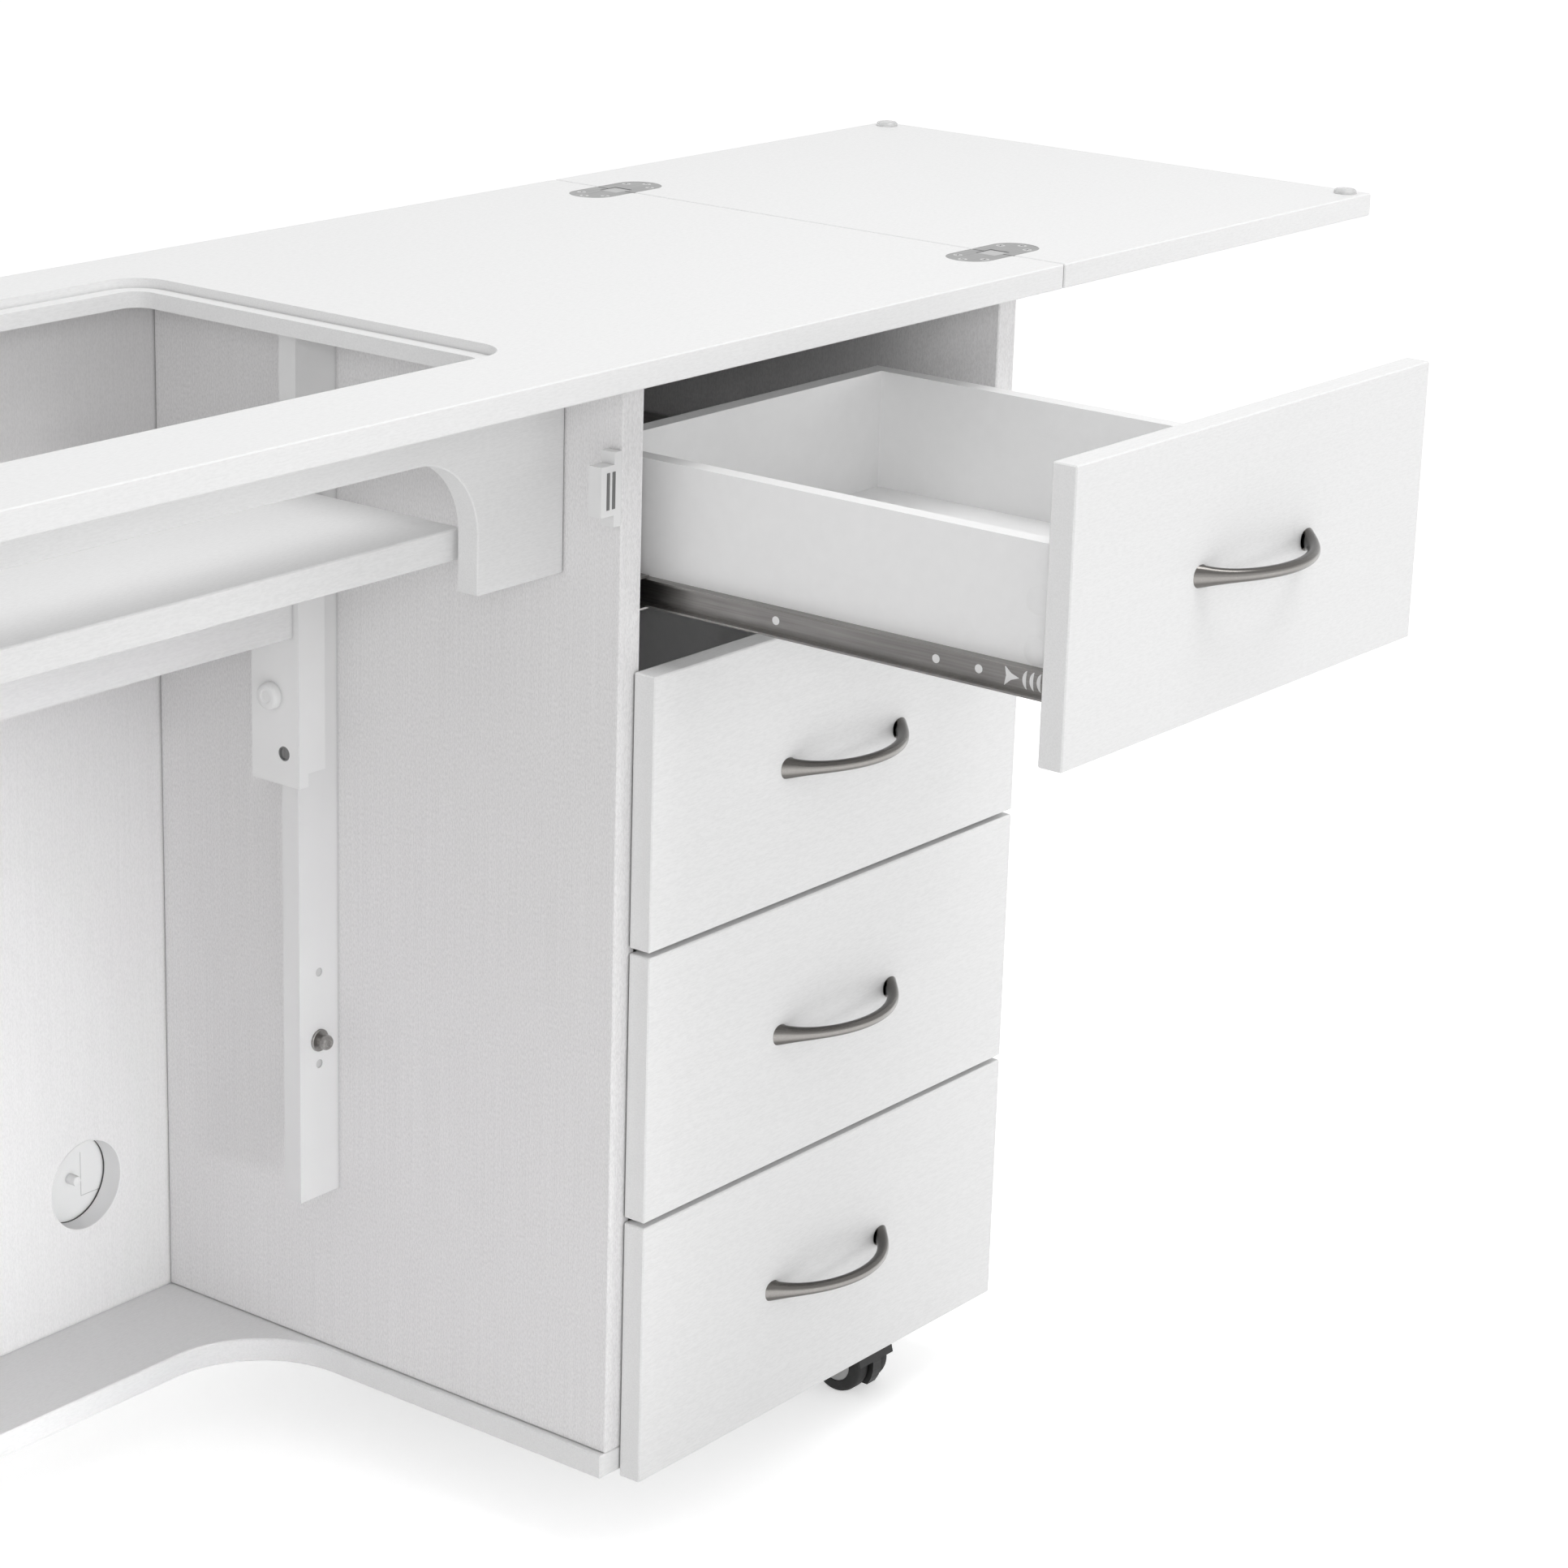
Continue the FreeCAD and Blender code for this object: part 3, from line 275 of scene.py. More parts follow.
FINISH = {
    "grain_x": ["table_top", "leaf_board", "base_board", "front_apron", "lift_platform",
                "lift_crossbar"] + ["drawer_%d_front" % n for n in DRAWERS],
    "grain_z": ["left_end_panel", "divider_panel", "right_end_panel"],
    "grain_back": ["back_panel", "knee_door"],
    "foil": ["drawer_%d_%s" % (n, part) for n in DRAWERS for part in ("box", "bottom")],
    "nickel": ["drawer_%d_pull" % n for n in DRAWERS] + ["door_pull"],
    "slide": ["drawer_%d_slides" % n for n in DRAWERS]
             + ["cabinet_runners", "rail_studs", "door_strike"],
    "hinge": ["table_hinge_plates", "leaf_hinge_plates", "door_frame_hinges",
              "door_hinge_leaves"],
    "link": ["hinge_links"],
    "screw": ["port_screw"],
    "pale_grey": ["caster_plates"],
    "strip": ["catch_strips"],
    "white_paint": ["lift_carriage_left", "lift_carriage_right", "carriage_bolts"],
    "rail_shaded_paint": ["lift_rail_left", "lift_rail_right"],
    "white_plastic": ["catch_body", "port_cover", "port_knob"],
    "black_plastic": ["caster_%d_hood" % n for n in CASTERS],
    "tread": ["caster_%d_wheels" % n for n in CASTERS],
    "bumper": ["leaf_bumpers"],
}


def dress_nodes():
    for finish, names in FINISH.items():
        for name in names:
            mesh = nodes[name].data
            mesh.materials.clear()
            mesh.materials.append(MATERIALS[finish])


# Mesh helpers

SMOOTH_ANGLE = math.radians(38)


def piece(name, mesh, finishes, body, smooth=True):
    """Make an object of a bmesh, give it its materials and let it ride on a body."""
    bmesh.ops.recalc_face_normals(mesh, faces=mesh.faces)
    data = bpy.data.meshes.new(name)
    mesh.to_mesh(data)
    mesh.free()
    for finish in finishes:
        data.materials.append(MATERIALS[finish])
    item = bpy.data.objects.new(name, data)
    bpy.context.scene.collection.objects.link(item)
    if smooth:
        data.shade_smooth()
        edges = item.modifiers.new("edges", "EDGE_SPLIT")
        edges.split_angle = SMOOTH_ANGLE
    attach(item, body)
    return item


def basis(origin, axis):
    """Matrix whose z axis is the given axis, standing at the origin."""
    turn = axis.to_track_quat("Z", "Y").to_matrix().to_4x4()
    return Matrix.Translation(origin) @ turn


def scaled(profile, radius=MM, height=MM):
    """Profile points times one unit for their radii and one for their heights."""
    return [(r * radius, h * height) for r, h in profile]


def turned(mesh, profile, origin, axis, segments=36):
    """Revolve (radius, height) points about an axis; a radius of 0 closes an end."""
    place = basis(origin, axis)
    turns = [2 * math.pi * i / segments for i in range(segments)]
    rings = []
    for radius, height in profile:
        if radius == 0:
            rings.append([mesh.verts.new(place @ Vector((0, 0, height)))])
            continue
        points = [Vector((radius * math.cos(t), radius * math.sin(t), height)) for t in turns]
        rings.append([mesh.verts.new(place @ point) for point in points])
    for low, high in zip(rings, rings[1:]):
        for i in range(segments):
            j = (i + 1) % segments
            corners = [low[i % len(low)], low[j % len(low)],
                       high[j % len(high)], high[i % len(high)]]
            mesh.faces.new(list(dict.fromkeys(corners)))


def slab(mesh, low, high, material=0, matrix=None):
    """A box between two corners, optionally in another frame."""
    size = Vector(high) - Vector(low)
    middle = (Vector(high) + Vector(low)) / 2
    place = (matrix or Matrix()) @ Matrix.Translation(middle) @ Matrix.Diagonal((*size, 1))
    made = bmesh.ops.create_cube(mesh, size=1, matrix=place)
    for face in {face for vert in made["verts"] for face in vert.link_faces}:
        face.material_index = material


HEAD_SUNK, HEAD_SIDES = 0.5 * MM, 28
HEAD_ROOT, HEAD_CROWN, HEAD_SHOULDER = 1.02, 0.93, 0.3
CROSS_ARM, CROSS_WIDTH = 0.58, 0.13
CROSS_DEEP, CROSS_PROUD = 0.3 * MM, 0.02 * MM


def screw(mesh, origin, axis, radius, proud=0.15 * MM, turn=0.4):
    """Countersunk head with a cross recess; the recess faces take the second material, a dark metal
    that paints the shade in the recess.
    """
    head = [(radius * HEAD_ROOT, -HEAD_SUNK), (radius, proud * HEAD_SHOULDER),
            (radius * HEAD_CROWN, proud), (0, proud)]
    turned(mesh, head, origin, axis, HEAD_SIDES)
    place = basis(origin, axis) @ Matrix.Rotation(turn, 4, "Z")
    arm, width = radius * CROSS_ARM, radius * CROSS_WIDTH
    for across in (0, 1):
        spin = place @ Matrix.Rotation(across * math.pi / 2, 4, "Z")
        # dark cross, a hair proud of the head: painted shade of the recess
        slab(mesh, (-arm, -width, proud - CROSS_DEEP), (arm, width, proud + CROSS_PROUD), 1, spin)


# Bow pulls: smooth bows over the same arc and flare as their solids

PULL_SPACING, PULL_REACH = 116 * MM, 27 * MM
PULL_THIN, PULL_FOOT, FOOT_SLIM = 3.6 * MM, 6.8 * MM, 0.7
PULL_SQUARE, FLARE_POWER = 0.9, 5
# how far a painted sheen keeps the feet's flanks from the darkest painted reflection
FOOT_SHEEN, SHEEN_POWER = 0.7, 4
BOW_AROUND, BOW_STATIONS = 28, 49


def rounded(value):
    """A sine or cosine pushed outward, which flattens the sides of a section."""
    return math.copysign(abs(value) ** PULL_SQUARE, value)


def bow(mesh, matrix):
    """A bow in the xy plane with its feet on y = 0; a float attribute, 1 along its outer line,
    marks where the material paints a highlight.
    """
    half = PULL_SPACING / 2
    radius = (half ** 2 + PULL_REACH ** 2) / (2 * PULL_REACH)
    swing = math.asin(half / radius)
    highlight_mask = mesh.verts.layers.float.new("highlight_mask")
    rings = []
    for k in range(BOW_STATIONS):
        share = -1.0 + 2.0 * k / (BOW_STATIONS - 1)
        angle = share * swing
        flare = abs(share) ** FLARE_POWER
        tall = PULL_THIN + (PULL_FOOT - PULL_THIN) * flare
        deep = PULL_THIN + (FOOT_SLIM * PULL_FOOT - PULL_THIN) * flare
        centre = Vector((radius * math.sin(angle),
                         radius - PULL_REACH - radius * math.cos(angle), 0))
        out = Vector((math.sin(angle), -math.cos(angle), 0))
        ring = []
        for i in range(BOW_AROUND):
            t = 2 * math.pi * i / BOW_AROUND
            point = (centre + out * (deep * rounded(math.cos(t)))
                     + Z_AXIS * (tall * rounded(math.sin(t))))
            if k in (0, BOW_STATIONS - 1):
                point.x -= point.y * math.tan(angle)
                point.y = 0
            point.y = min(point.y, 0)
            ring.append(mesh.verts.new(matrix @ point))
            # mask for the painted highlight, kept up near the feet so their flanks are painted less
            # dark
            ring[-1][highlight_mask] = max(math.cos(t), FOOT_SHEEN * share ** SHEEN_POWER)
        rings.append(ring)
    for low, high in zip(rings, rings[1:]):
        for i in range(BOW_AROUND):
            j = (i + 1) % BOW_AROUND
            mesh.faces.new((low[i], low[j], high[j], high[i]))
    for ring in (rings[0], rings[-1]):
        mesh.faces.new(ring)


def pulls():
    for n in DRAWERS:
        node = "drawer_%d_pull" % n
        low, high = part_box(node)
        mesh = bmesh.new()
        middle = (low + high) / 2
        bow(mesh, Matrix.Translation((middle.x, high.y, middle.z)))
        item = piece("drawer_%d_bow" % n, mesh, ["nickel"], "drawer_%d" % n)
        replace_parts(item, node)
    low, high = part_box("door_pull")
    middle = (low + high) / 2
    stand = Matrix.Rotation(math.pi / 2, 4, "Y") @ Matrix.Rotation(math.pi, 4, "X")
    mesh = bmesh.new()
    bow(mesh, Matrix.Translation((middle.x, low.y, middle.z)) @ stand)
    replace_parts(piece("door_bow", mesh, ["nickel"], "door"), "door_pull")


# Leaf: screws in the hinge plates, a grey band at the joint as painted shadow, domes of the bumpers

# screws of one plate: distance from the joint, place along it
HINGE_SCREWS = ((24 * MM, 10.6 * MM), (33.6 * MM, 0), (24 * MM, -10.6 * MM))
HINGE_SCREW_RADIUS = 3.1 * MM
FIRST_TURN, NEXT_TURN = 0.5, 0.7
HINGE_HALF = 16.75 * MM
BAND_THICK, BAND_SUNK, BAND_END = 0.7 * MM, 0.5 * MM, 2 * MM
DOME = ((1, 0), (1, 0.45), (0.96, 0.72), (0.84, 0.92), (0.6, 1), (0, 1))


def leaf_hinge_screws():
    low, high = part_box("table_hinge_plates")
    seam = (high.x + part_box("leaf_hinge_plates")[0].x) / 2
    middle = (low.y + high.y) / 2
    reach = (high.y - low.y) / 2 - HINGE_HALF
    for node, body, side in (("table_hinge_plates", "cabinet", -1),
                             ("leaf_hinge_plates", "leaf", 1)):
        mesh = bmesh.new()
        for row in (-reach, reach):
            for i, (x, y) in enumerate(HINGE_SCREWS):
                spot = Vector((seam + side * x, middle + row + y, high.z))
                screw(mesh, spot, Z_AXIS, HINGE_SCREW_RADIUS, turn=FIRST_TURN + NEXT_TURN * i)
        piece(node.replace("plates", "screws"), mesh, ["screw", "recess"], body)


def leaf_seam():
    """Grey band on the table's side of the joint, between and beside the hinges: a painted shadow
    that darkens the seam line.
    """
    low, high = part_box("table_top")
    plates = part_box("table_hinge_plates")
    stops = [low.y + BAND_END, plates[0].y - BAND_END, plates[0].y + 2 * HINGE_HALF + BAND_END,
             plates[1].y - 2 * HINGE_HALF - BAND_END, plates[1].y + BAND_END, high.y - BAND_END]
    mesh = bmesh.new()
    for start, end in zip(stops[::2], stops[1::2]):
        slab(mesh, (high.x, start, low.z + BAND_END),
             (high.x + BAND_THICK, end, high.z - BAND_SUNK))
    piece("table_seam_shadow_band", mesh, ["seam"], "cabinet", smooth=False)


def leaf_bumpers():
    low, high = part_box("leaf_bumpers")
    radius = (high.x - low.x) / 2
    tall = high.z - low.z
    mesh = bmesh.new()
    for y in (low.y + radius, high.y - radius):
        spot = Vector(((low.x + high.x) / 2, y, low.z))
        turned(mesh, scaled(DOME, radius, tall), spot, Z_AXIS)
    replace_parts(piece("leaf_bumper_domes", mesh, ["bumper"], "leaf"), "leaf_bumpers")


# Lift: bolts, guide pins and stop studs with rounded ends; pale caps in the rails' holes are
# painted light, dark pieces in the carriages' holes painted shade

BOLT_RADIUS, PIN_RADIUS = 8.5 * MM, 5.2 * MM
PIN_SHORT, WEB_GAP, WEB_THICK = 5 * MM, 37.5 * MM, 2 * MM
BOLT = ((1, -0.2), (1, 3.6), (0.93, 5.2), (0.78, 6), (0.5, 6), (0.42, 5.4), (0, 5.4))
PIN = ((0, 0), (1, 0), (1, 29.7), (0.9, 30.4), (0, 30.4))
STUD = ((7.3, 0), (7.3, 1.2), (6.9, 1.6), (3.5, 1.6), (3.5, 4), (4.5, 4.4), (5, 5.4),
        (4.8, 7.4), (4, 8.5), (2.2, 9), (1.8, 8.6), (0, 8.5))
RAIL_HOLES = (46 * MM, -16 * MM)
# pale caps in the rails' holes that stand in for the light seen inside them: painted light
HOLE_LIGHT_CAP = ((2.75, 1.2), (2.75, 0.5), (2.3, 0.35), (0, 0.6))
# dark pieces in the holes of the carriages' webs: painted shade of the holes
HOLE_SHADE_OUT, HOLE_SHADE_BACK, HOLE_SHADE_RISE = 2.5 * MM, 13 * MM, 20.5 * MM
HOLE_SHADE = ((4.65, -1.4), (4.65, -0.1), (3.9, -0.1), (3.6, -1), (0, -1.2))
HOLE_LIGHT_SIDES, HOLE_SHADE_SIDES = 20, 28


def carriage_bolts():
    low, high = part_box("carriage_bolts")
    middle_y = (low.y + high.y) / 2
    head_z = low.z + BOLT_RADIUS
    top_z = high.z - PIN_RADIUS
    mesh = bmesh.new()
    for side, panel in ((1, high.x + PIN_SHORT), (-1, low.x - PIN_SHORT)):
        inward = -X_AXIS * side
        web = Vector((panel - side * WEB_GAP, middle_y, head_z))
        turned(mesh, scaled(BOLT, BOLT_RADIUS), web, inward)
        for z in (head_z, top_z):
            start = Vector((panel - side * (WEB_GAP - WEB_THICK), middle_y, z))
            turned(mesh, scaled(PIN, PIN_RADIUS), start, -inward)
    item = piece("carriage_bolt_heads", mesh, ["white_plastic"], "lift")
    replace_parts(item, "carriage_bolts")


def stop_studs(rails):
    low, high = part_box("rail_studs")
    studs = bmesh.new()
    hole_light_caps = bmesh.new()
    stud_z = (low.z + high.z) / 2
    for rail in rails:
        spot = Vector(((rail[0].x + rail[1].x) / 2, rail[0].y, stud_z))
        turned(studs, scaled(STUD), spot, -Y_AXIS)
        for level in RAIL_HOLES:
            # pale caps in the rail's holes: painted light
            turned(hole_light_caps, scaled(HOLE_LIGHT_CAP), spot + Z_AXIS * level, Y_AXIS, HOLE_LIGHT_SIDES)
    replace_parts(piece("stop_studs", studs, ["slide"], "cabinet"), "rail_studs")
    piece("rail_hole_light_caps", hole_light_caps, ["pale_grey"], "cabinet")


# dark pieces in the carriages' holes: painted shade
def carriage_hole_shade(right, left):
    mesh = bmesh.new()
    for node, web, side in (("lift_carriage_right", right[0].x, 1),
                            ("lift_carriage_left", left[1].x, -1)):
        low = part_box(node)[0]
        spot = Vector((web - side * HOLE_SHADE_OUT, low.y + HOLE_SHADE_BACK, low.z + HOLE_SHADE_RISE))
        turned(mesh, scaled(HOLE_SHADE), spot, -X_AXIS * side, HOLE_SHADE_SIDES)
    piece("carriage_hole_shade_pieces", mesh, ["strip"], "lift")


def lift_hardware():
    right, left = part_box("lift_rail_right"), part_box("lift_rail_left")
    carriage_bolts()
    stop_studs((right, left))
    carriage_hole_shade(right, left)


# Drawers: cam caps on the sides, holes and slots of the slide members

CAP_RADIUS, CAP_BACK = 8 * MM, 25 * MM
CAP_LEVELS = (25.5 * MM, 54.5 * MM)
CAP = ((1, -0.2), (1, 0.15), (0.95, 0.35), (0, 0.4))
MEMBER_HOLLOW, CUT_PROUD = 5.7 * MM, 0.06 * MM
SLIDE_HOLES = (206 * MM, 91.5 * MM, 62 * MM)
SLIDE_HOLE = ((2.6, -0.2), (2.6, 0), (0, 0))
SLIDE_HOLE_SIDES = 20
STAR_BACK, STAR_SIZE, STAR_WAIST = 41 * MM, 6.8 * MM, 0.34
SLOT_BACKS = tuple((31 - 4.8 * i) * MM for i in range(4))
SLOT_RADIUS, SLOT_THICK, SLOT_TIP = 9 * MM, 2.4 * MM, 0.05 * MM
SLOT_ANGLE, SLOT_STEPS = math.radians(38), 10


def drawer_caps(n):
    low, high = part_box("drawer_%d_box" % n)
    mesh = bmesh.new()
    for x, axis in ((low.x, -X_AXIS), (high.x, X_AXIS)):
        for level in CAP_LEVELS:
            spot = Vector((x, low.y + CAP_BACK, low.z + level))
            turned(mesh, scaled(CAP, CAP_RADIUS), spot, axis)
    piece("drawer_%d_caps" % n, mesh, ["foil"], "drawer_%d" % n)


def crescent(mesh, matrix):
    """A curved slot in the local xy plane, thin at its two tips."""
    edges = []
    for i in range(SLOT_STEPS + 1):
        share = -1 + 2 * i / SLOT_STEPS
        angle = share * SLOT_ANGLE
        half = SLOT_THICK * (1 - share ** 2) / 2 + SLOT_TIP
        points = [Vector((r * math.cos(angle) - SLOT_RADIUS, r * math.sin(angle), 0))
                  for r in (SLOT_RADIUS - half, SLOT_RADIUS + half)]
        edges.append([mesh.verts.new(matrix @ point) for point in points])
    for (a, b), (c, d) in zip(edges, edges[1:]):
        mesh.faces.new((a, b, d, c))


def star(mesh, matrix):
    """Three-pointed cut-out with hollow sides."""
    points = []
    for i in range(6):
        reach = STAR_SIZE if i % 2 == 0 else STAR_SIZE * STAR_WAIST
        angle = math.pi + i * math.pi / 3
        point = Vector((reach * math.cos(angle), reach * math.sin(angle), 0))
        points.append(mesh.verts.new(matrix @ point))
    mesh.faces.new(points)


def slide_cutouts(n):
    """The member's holes and slots, seen as the white drawer side behind them."""
    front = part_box("drawer_%d_box" % n)[0].y
    low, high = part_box("drawer_%d_slides" % n)
    middle = (low.z + high.z) / 2
    mesh = bmesh.new()
    for x, side in ((low.x, -1), (high.x, 1)):
        face = x - side * (MEMBER_HOLLOW - CUT_PROUD)
        upright = Matrix(((0, 0, side, face), (1, 0, 0, 0), (0, 1, 0, 0), (0, 0, 0, 1)))
        for back in SLIDE_HOLES:
            spot = Vector((face, front + back, middle))
            turned(mesh, scaled(SLIDE_HOLE), spot, X_AXIS * side, SLIDE_HOLE_SIDES)
        star(mesh, upright @ Matrix.Translation((front + STAR_BACK, middle, 0)))
        for back in SLOT_BACKS:
            crescent(mesh, upright @ Matrix.Translation((front + back, middle, 0)))
    piece("drawer_%d_slide_cutouts" % n, mesh, ["foil"], "drawer_%d" % n, smooth=False)


# Knee door: screws in the hinges

# node, body, height of one hinge, levels of its screws
DOOR_HINGES = (("door_frame_hinges", "cabinet", 48 * MM, (8 * MM, 40 * MM)),
               ("door_hinge_leaves", "door", 15.4 * MM, (4 * MM, 11.4 * MM)))
SMALL_SCREW = 2.6 * MM
DOOR_SCREW_IN, DOOR_SCREW_BACK = 7 * MM, 0.2 * MM
DOOR_SCREW_TURN, TURN_PER_METRE = 0.3, 100


def door_screws():
    for node, body, height, rises in DOOR_HINGES:
        low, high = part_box(node)
        mesh = bmesh.new()
        x = high.x - DOOR_SCREW_IN if body == "cabinet" else low.x + DOOR_SCREW_IN
        face = (low.y + high.y) / 2 + DOOR_SCREW_BACK
        for level in (low.z, high.z - height):
            for rise in rises:
                spot = Vector((x, face, level + rise))
                turn = DOOR_SCREW_TURN + rise * TURN_PER_METRE
                screw(mesh, spot, -Y_AXIS, SMALL_SCREW, turn=turn)
        piece(node + "_screws", mesh, ["screw", "recess"], body)


# Cable port: step line and peg of the cover, sleeve of the hole and a dark ring behind it; the step
# line and the ring are painted shadow

PORT_RADIUS, PORT_SIDES = 30.5 * MM, 72
STEP_LINE, STEP_PROUD, STEP_SUNK = 0.22 * MM, 0.1 * MM, 0.2 * MM
STEP_SIDE, STEP_DROP = 10 * MM, 15.5 * MM
STEP_TALL, STEP_LONG = 31 * MM, 16 * MM
PEG = ((1, 0), (1, 0.82), (0.9, 0.95), (0.6, 1), (0, 1))
PEG_SIDES = 28
# lining: millimetres out from the hole's radius, and back from the panel's front or rear face
PORT_RIM = ((0.6, 0), (0.5, -0.25), (0, -0.3), (-0.4, 0.1))
PORT_SLEEVE_END = ((-0.4, -1), (0, -1))
# dark ring at the back of the hole: painted shadow of the gap behind the panel
PORT_SHADOW_RING = ((0, -1), (-0.7, -0.9), (-0.7, -0.1), (0, 0))


def port_trim():
    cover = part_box("port_cover")
    low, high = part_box("port_knob")
    middle = (low + high) / 2
    face, sunk = cover[0].y - STEP_PROUD, cover[0].y + STEP_SUNK
    x, z = middle.x + STEP_SIDE, middle.z - STEP_DROP
    mesh = bmesh.new()
    # the step's lines are thin grey slabs in the cover's face: painted shadow of its seam
    slab(mesh, (x - STEP_LINE, face, z), (x + STEP_LINE, sunk, z + STEP_TALL))
    slab(mesh, (x, face, z - STEP_LINE), (x + STEP_LONG, sunk, z + STEP_LINE))
    piece("port_cover_step_shadow", mesh, ["seam"], "port", smooth=False)
    peg = bmesh.new()
    radius, tall = (high.x - low.x) / 2, high.y - low.y
    turned(peg, scaled(PEG, radius, tall), Vector((middle.x, high.y, middle.z)), -Y_AXIS,
           PEG_SIDES)
    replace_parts(piece("port_peg", peg, ["white_plastic"], "port"), "port_knob")
    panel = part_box("back_panel")
    port_lining(Vector((middle.x, panel[0].y, middle.z)), panel[1].y - panel[0].y)


def lining(profile, face):
    """Points of the port's lining, placed by a face of the panel."""
    return [(PORT_RADIUS + out * MM, face + back * MM) for out, back in profile]


def port_lining(centre, deep):
    """Sleeve in the panel's hole, with a thin rim in front, and behind it a dark ring: painted
    shadow of the gap between the panel and the cover.
    """
    sleeve = bmesh.new()
    turned(sleeve, lining(PORT_RIM, 0) + lining(PORT_SLEEVE_END, deep), centre, Y_AXIS, PORT_SIDES)
    piece("port_sleeve", sleeve, ["white_plastic"], "cabinet")
    shadow_ring = bmesh.new()
    # dark ring: painted shadow
    turned(shadow_ring, lining(PORT_SHADOW_RING, deep), centre, Y_AXIS, PORT_SIDES)
    piece("port_shadow_ring", shadow_ring, ["shadow_ring"], "cabinet")


# Casters: tyres, hubs and the screws of the plates; profiles go from a wheel's inner face outward

WHEEL_WIDTH = 12.5 * MM
TYRE_SIDES, HUB_SIDES = 56, 48
TREAD = ((0.3, 0), (0.88, 0), (0.96, 0.6), (1, 2), (1, 9.1), (0.975, 10.8), (0.92, 11.9),
         (0.84, 12.5), (0.6, 12.5), (0.58, 11.9))
HUB = ((0.58, 11.9), (0.55, 12.25), (0.36, 12.45), (0.33, 12), (0.14, 12), (0.1, 12.3),
       (0, 12.3))
SWIVEL_IN, PLATE_THICK, PLATE_SCREWS = 9 * MM, 3 * MM, (-16 * MM, 16 * MM)
PLATE_SCREW_PROUD = 0.6 * MM


def caster_wheels(n):
    node = "caster_%d_wheels" % n
    low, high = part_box(node)
    middle = (low + high) / 2
    radius = (high.z - low.z) / 2
    tyres = bmesh.new()
    hubs = bmesh.new()
    for side, x in ((1, high.x), (-1, low.x)):
        inner = Vector((x - side * WHEEL_WIDTH, middle.y, middle.z))
        turned(tyres, scaled(TREAD, radius), inner, X_AXIS * side, TYRE_SIDES)
        turned(hubs, scaled(HUB, radius), inner, X_AXIS * side, HUB_SIDES)
    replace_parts(piece("caster_%d_tyres" % n, tyres, ["tread"], "wheels_%d" % n), node)
    piece("caster_%d_hubs" % n, hubs, ["grey_plastic"], "wheels_%d" % n)


def caster_screws():
    mesh = bmesh.new()
    for n in CASTERS:
        low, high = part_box("caster_%d_hood" % n)
        x, y = (low.x + high.x) / 2, high.y - SWIVEL_IN
        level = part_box("caster_plates")[1].z - PLATE_THICK
        for dx in PLATE_SCREWS:
            for dy in PLATE_SCREWS:
                spot = Vector((x + dx, y + dy, level))
                screw(mesh, spot, -Z_AXIS, SMALL_SCREW, PLATE_SCREW_PROUD)
    piece("caster_plate_screws", mesh, ["screw", "recess"], "cabinet")


# Stage, light and camera

WORLD_LEVEL = 0.6
FLOOR_LIFT, FLOOR_HALF = 0.46, 12
# name, place, target, size, power, spread in degrees, seen in glosses
# (right_fill isn't, because the leaf's top would clip in low views from behind)
LAMPS = (
    ("key", (0.9, -1.0, 3.5), (0.3, 0.1, 0.7), 1.8, 42, 180, True),
    ("side_fill", (-3.4, -2.95, 2.05), (0.35, -0.1, 0.5), 1.0, 31, 180, True),
    ("right_fill", (2.2, -3.6, 0.9), (0.4, 0.0, 0.5), 1.0, 18, 180, False),
    ("rear_fill", (0.3, 4.6, 0.55), (0.3, 0.2, 0.45), 1.2, 40, 180, False),
    ("knee_fill", (-0.9, -3.5, 0.45), (-0.1, -0.05, 0.22), 0.3, 0.55, 14, False),
)


def seen_rays(tree):
    """1 for rays that show the surroundings: seen directly, in a gloss or through plastic."""
    rays = add(tree, "ShaderNodeLightPath")
    direct = add(tree, "ShaderNodeMath", operation="MAXIMUM")
    tree.links.new(rays.outputs["Is Camera Ray"], direct.inputs[0])
    tree.links.new(rays.outputs["Is Transmission Ray"], direct.inputs[1])
    seen = add(tree, "ShaderNodeMath", operation="MAXIMUM")
    tree.links.new(direct.outputs["Value"], seen.inputs[0])
    tree.links.new(rays.outputs["Is Glossy Ray"], seen.inputs[1])
    return seen.outputs["Value"]


def floor_material():
    """Pale matt floor that reads as white where no shadow lies on it."""
    material, tree, shader = new_material("pale_floor")
    mottle = noise(tree, (3, 3, 3), detail=2.0)
    tree.links.new(ramp(tree, mottle, grey(0.93), grey(0.95)), shader.inputs["Base Color"])
    shader.inputs["Roughness"].default_value = 0.9
    shader.inputs["Specular IOR Level"].default_value = 0.1
    lift = add(tree, "ShaderNodeMath", {1: FLOOR_LIFT}, operation="MULTIPLY")
    tree.links.new(seen_rays(tree), lift.inputs[0])
    shader.inputs["Emission Color"].default_value = (1, 1, 1, 1)
    tree.links.new(lift.outputs["Value"], shader.inputs["Emission Strength"])
    return material


def stage():
    mesh = bmesh.new()
    bmesh.ops.create_grid(mesh, x_segments=1, y_segments=1, size=FLOOR_HALF)
    data = bpy.data.meshes.new("floor")
    mesh.to_mesh(data)
    mesh.free()
    data.materials.append(floor_material())
    item = bpy.data.objects.new("floor", data)
    bpy.context.scene.collection.objects.link(item)


def world():
    sky = bpy.data.worlds.new("studio")
    bpy.context.scene.world = sky
    sky.use_nodes = True
    tree = sky.node_tree
    background = tree.nodes["Background"]
    background.inputs["Color"].default_value = (1, 1, 1, 1)
    level = add(tree, "ShaderNodeMapRange", {"To Min": WORLD_LEVEL, "To Max": 1.0})
    tree.links.new(seen_rays(tree), level.inputs["Value"])
    tree.links.new(level.outputs["Result"], background.inputs["Strength"])


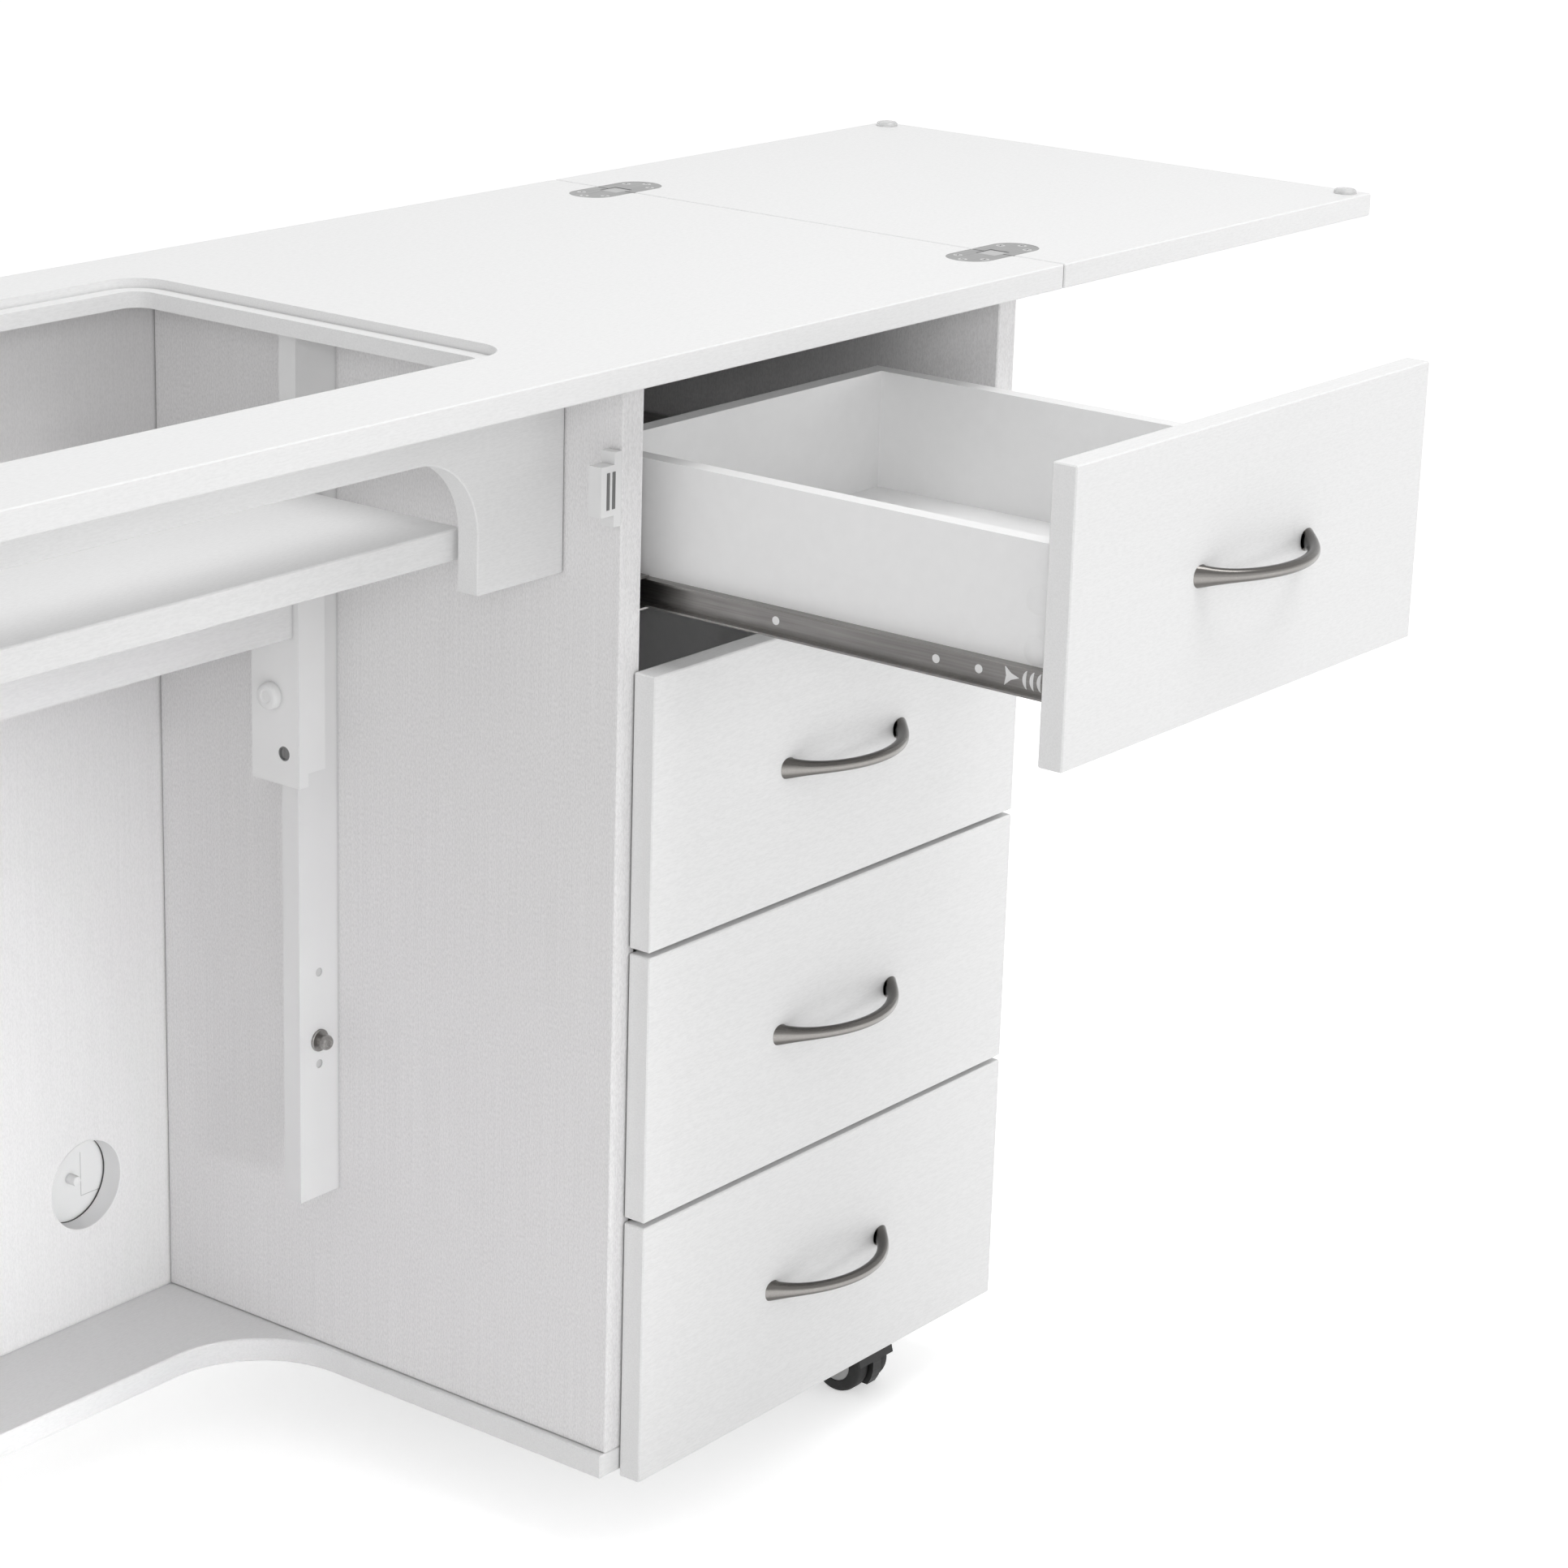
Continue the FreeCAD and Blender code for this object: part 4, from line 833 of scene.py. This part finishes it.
def area_light(name, place, target, size, power, spread_angle, glossy):
    data = bpy.data.lights.new(name, "AREA")
    data.shape = "DISK"
    data.size = size
    data.energy = power
    data.spread = math.radians(spread_angle)
    item = bpy.data.objects.new(name, data)
    bpy.context.scene.collection.objects.link(item)
    item.location = place
    item.rotation_mode = "QUATERNION"
    item.rotation_quaternion = (Vector(target) - Vector(place)).to_track_quat("-Z", "Y")
    item.visible_glossy = glossy
    return item


def leave_out(lamp, names):
    """Keep a lamp's light off some nodes, such as a door that shuts over the space it is for."""
    group = bpy.data.collections.new(lamp.name + "_left_out")
    for name in names:
        group.objects.link(nodes[name])
    lamp.light_linking.receiver_collection = group
    for entry in group.collection_objects:
        entry.light_linking.link_state = "EXCLUDE"


CAMERA_PLACE = Vector((-1.4996, -1.5381, 1.266))
CAMERA_AZIMUTH, CAMERA_ELEVATION, CAMERA_ROLL = -52.7, 17.79, 1.75
CAMERA_LENS, CAMERA_SENSOR = 95.96, 36


def camera():
    data = bpy.data.cameras.new("camera")
    data.sensor_width = CAMERA_SENSOR
    data.lens = CAMERA_LENS
    item = bpy.data.objects.new("camera", data)
    bpy.context.scene.collection.objects.link(item)
    azimuth, elevation = math.radians(CAMERA_AZIMUTH), math.radians(CAMERA_ELEVATION)
    look = Vector((-math.sin(azimuth) * math.cos(elevation),
                   math.cos(azimuth) * math.cos(elevation), -math.sin(elevation)))
    turn = look.to_track_quat("-Z", "Y").to_matrix().to_4x4()
    roll = Matrix.Rotation(math.radians(CAMERA_ROLL), 4, "Z")
    item.matrix_world = Matrix.Translation(CAMERA_PLACE) @ turn @ roll
    bpy.context.scene.camera = item


dress_nodes()
pulls()
leaf_hinge_screws()
leaf_seam()
leaf_bumpers()
lift_hardware()
for drawer in DRAWERS:
    drawer_caps(drawer)
    slide_cutouts(drawer)
door_screws()
port_trim()
for caster in CASTERS:
    caster_wheels(caster)
caster_screws()
stage()
world()
lamps = {row[0]: area_light(*row) for row in LAMPS}
leave_out(lamps["knee_fill"], ["knee_door"])
camera()
bpy.context.scene.view_settings.view_transform = "Standard"
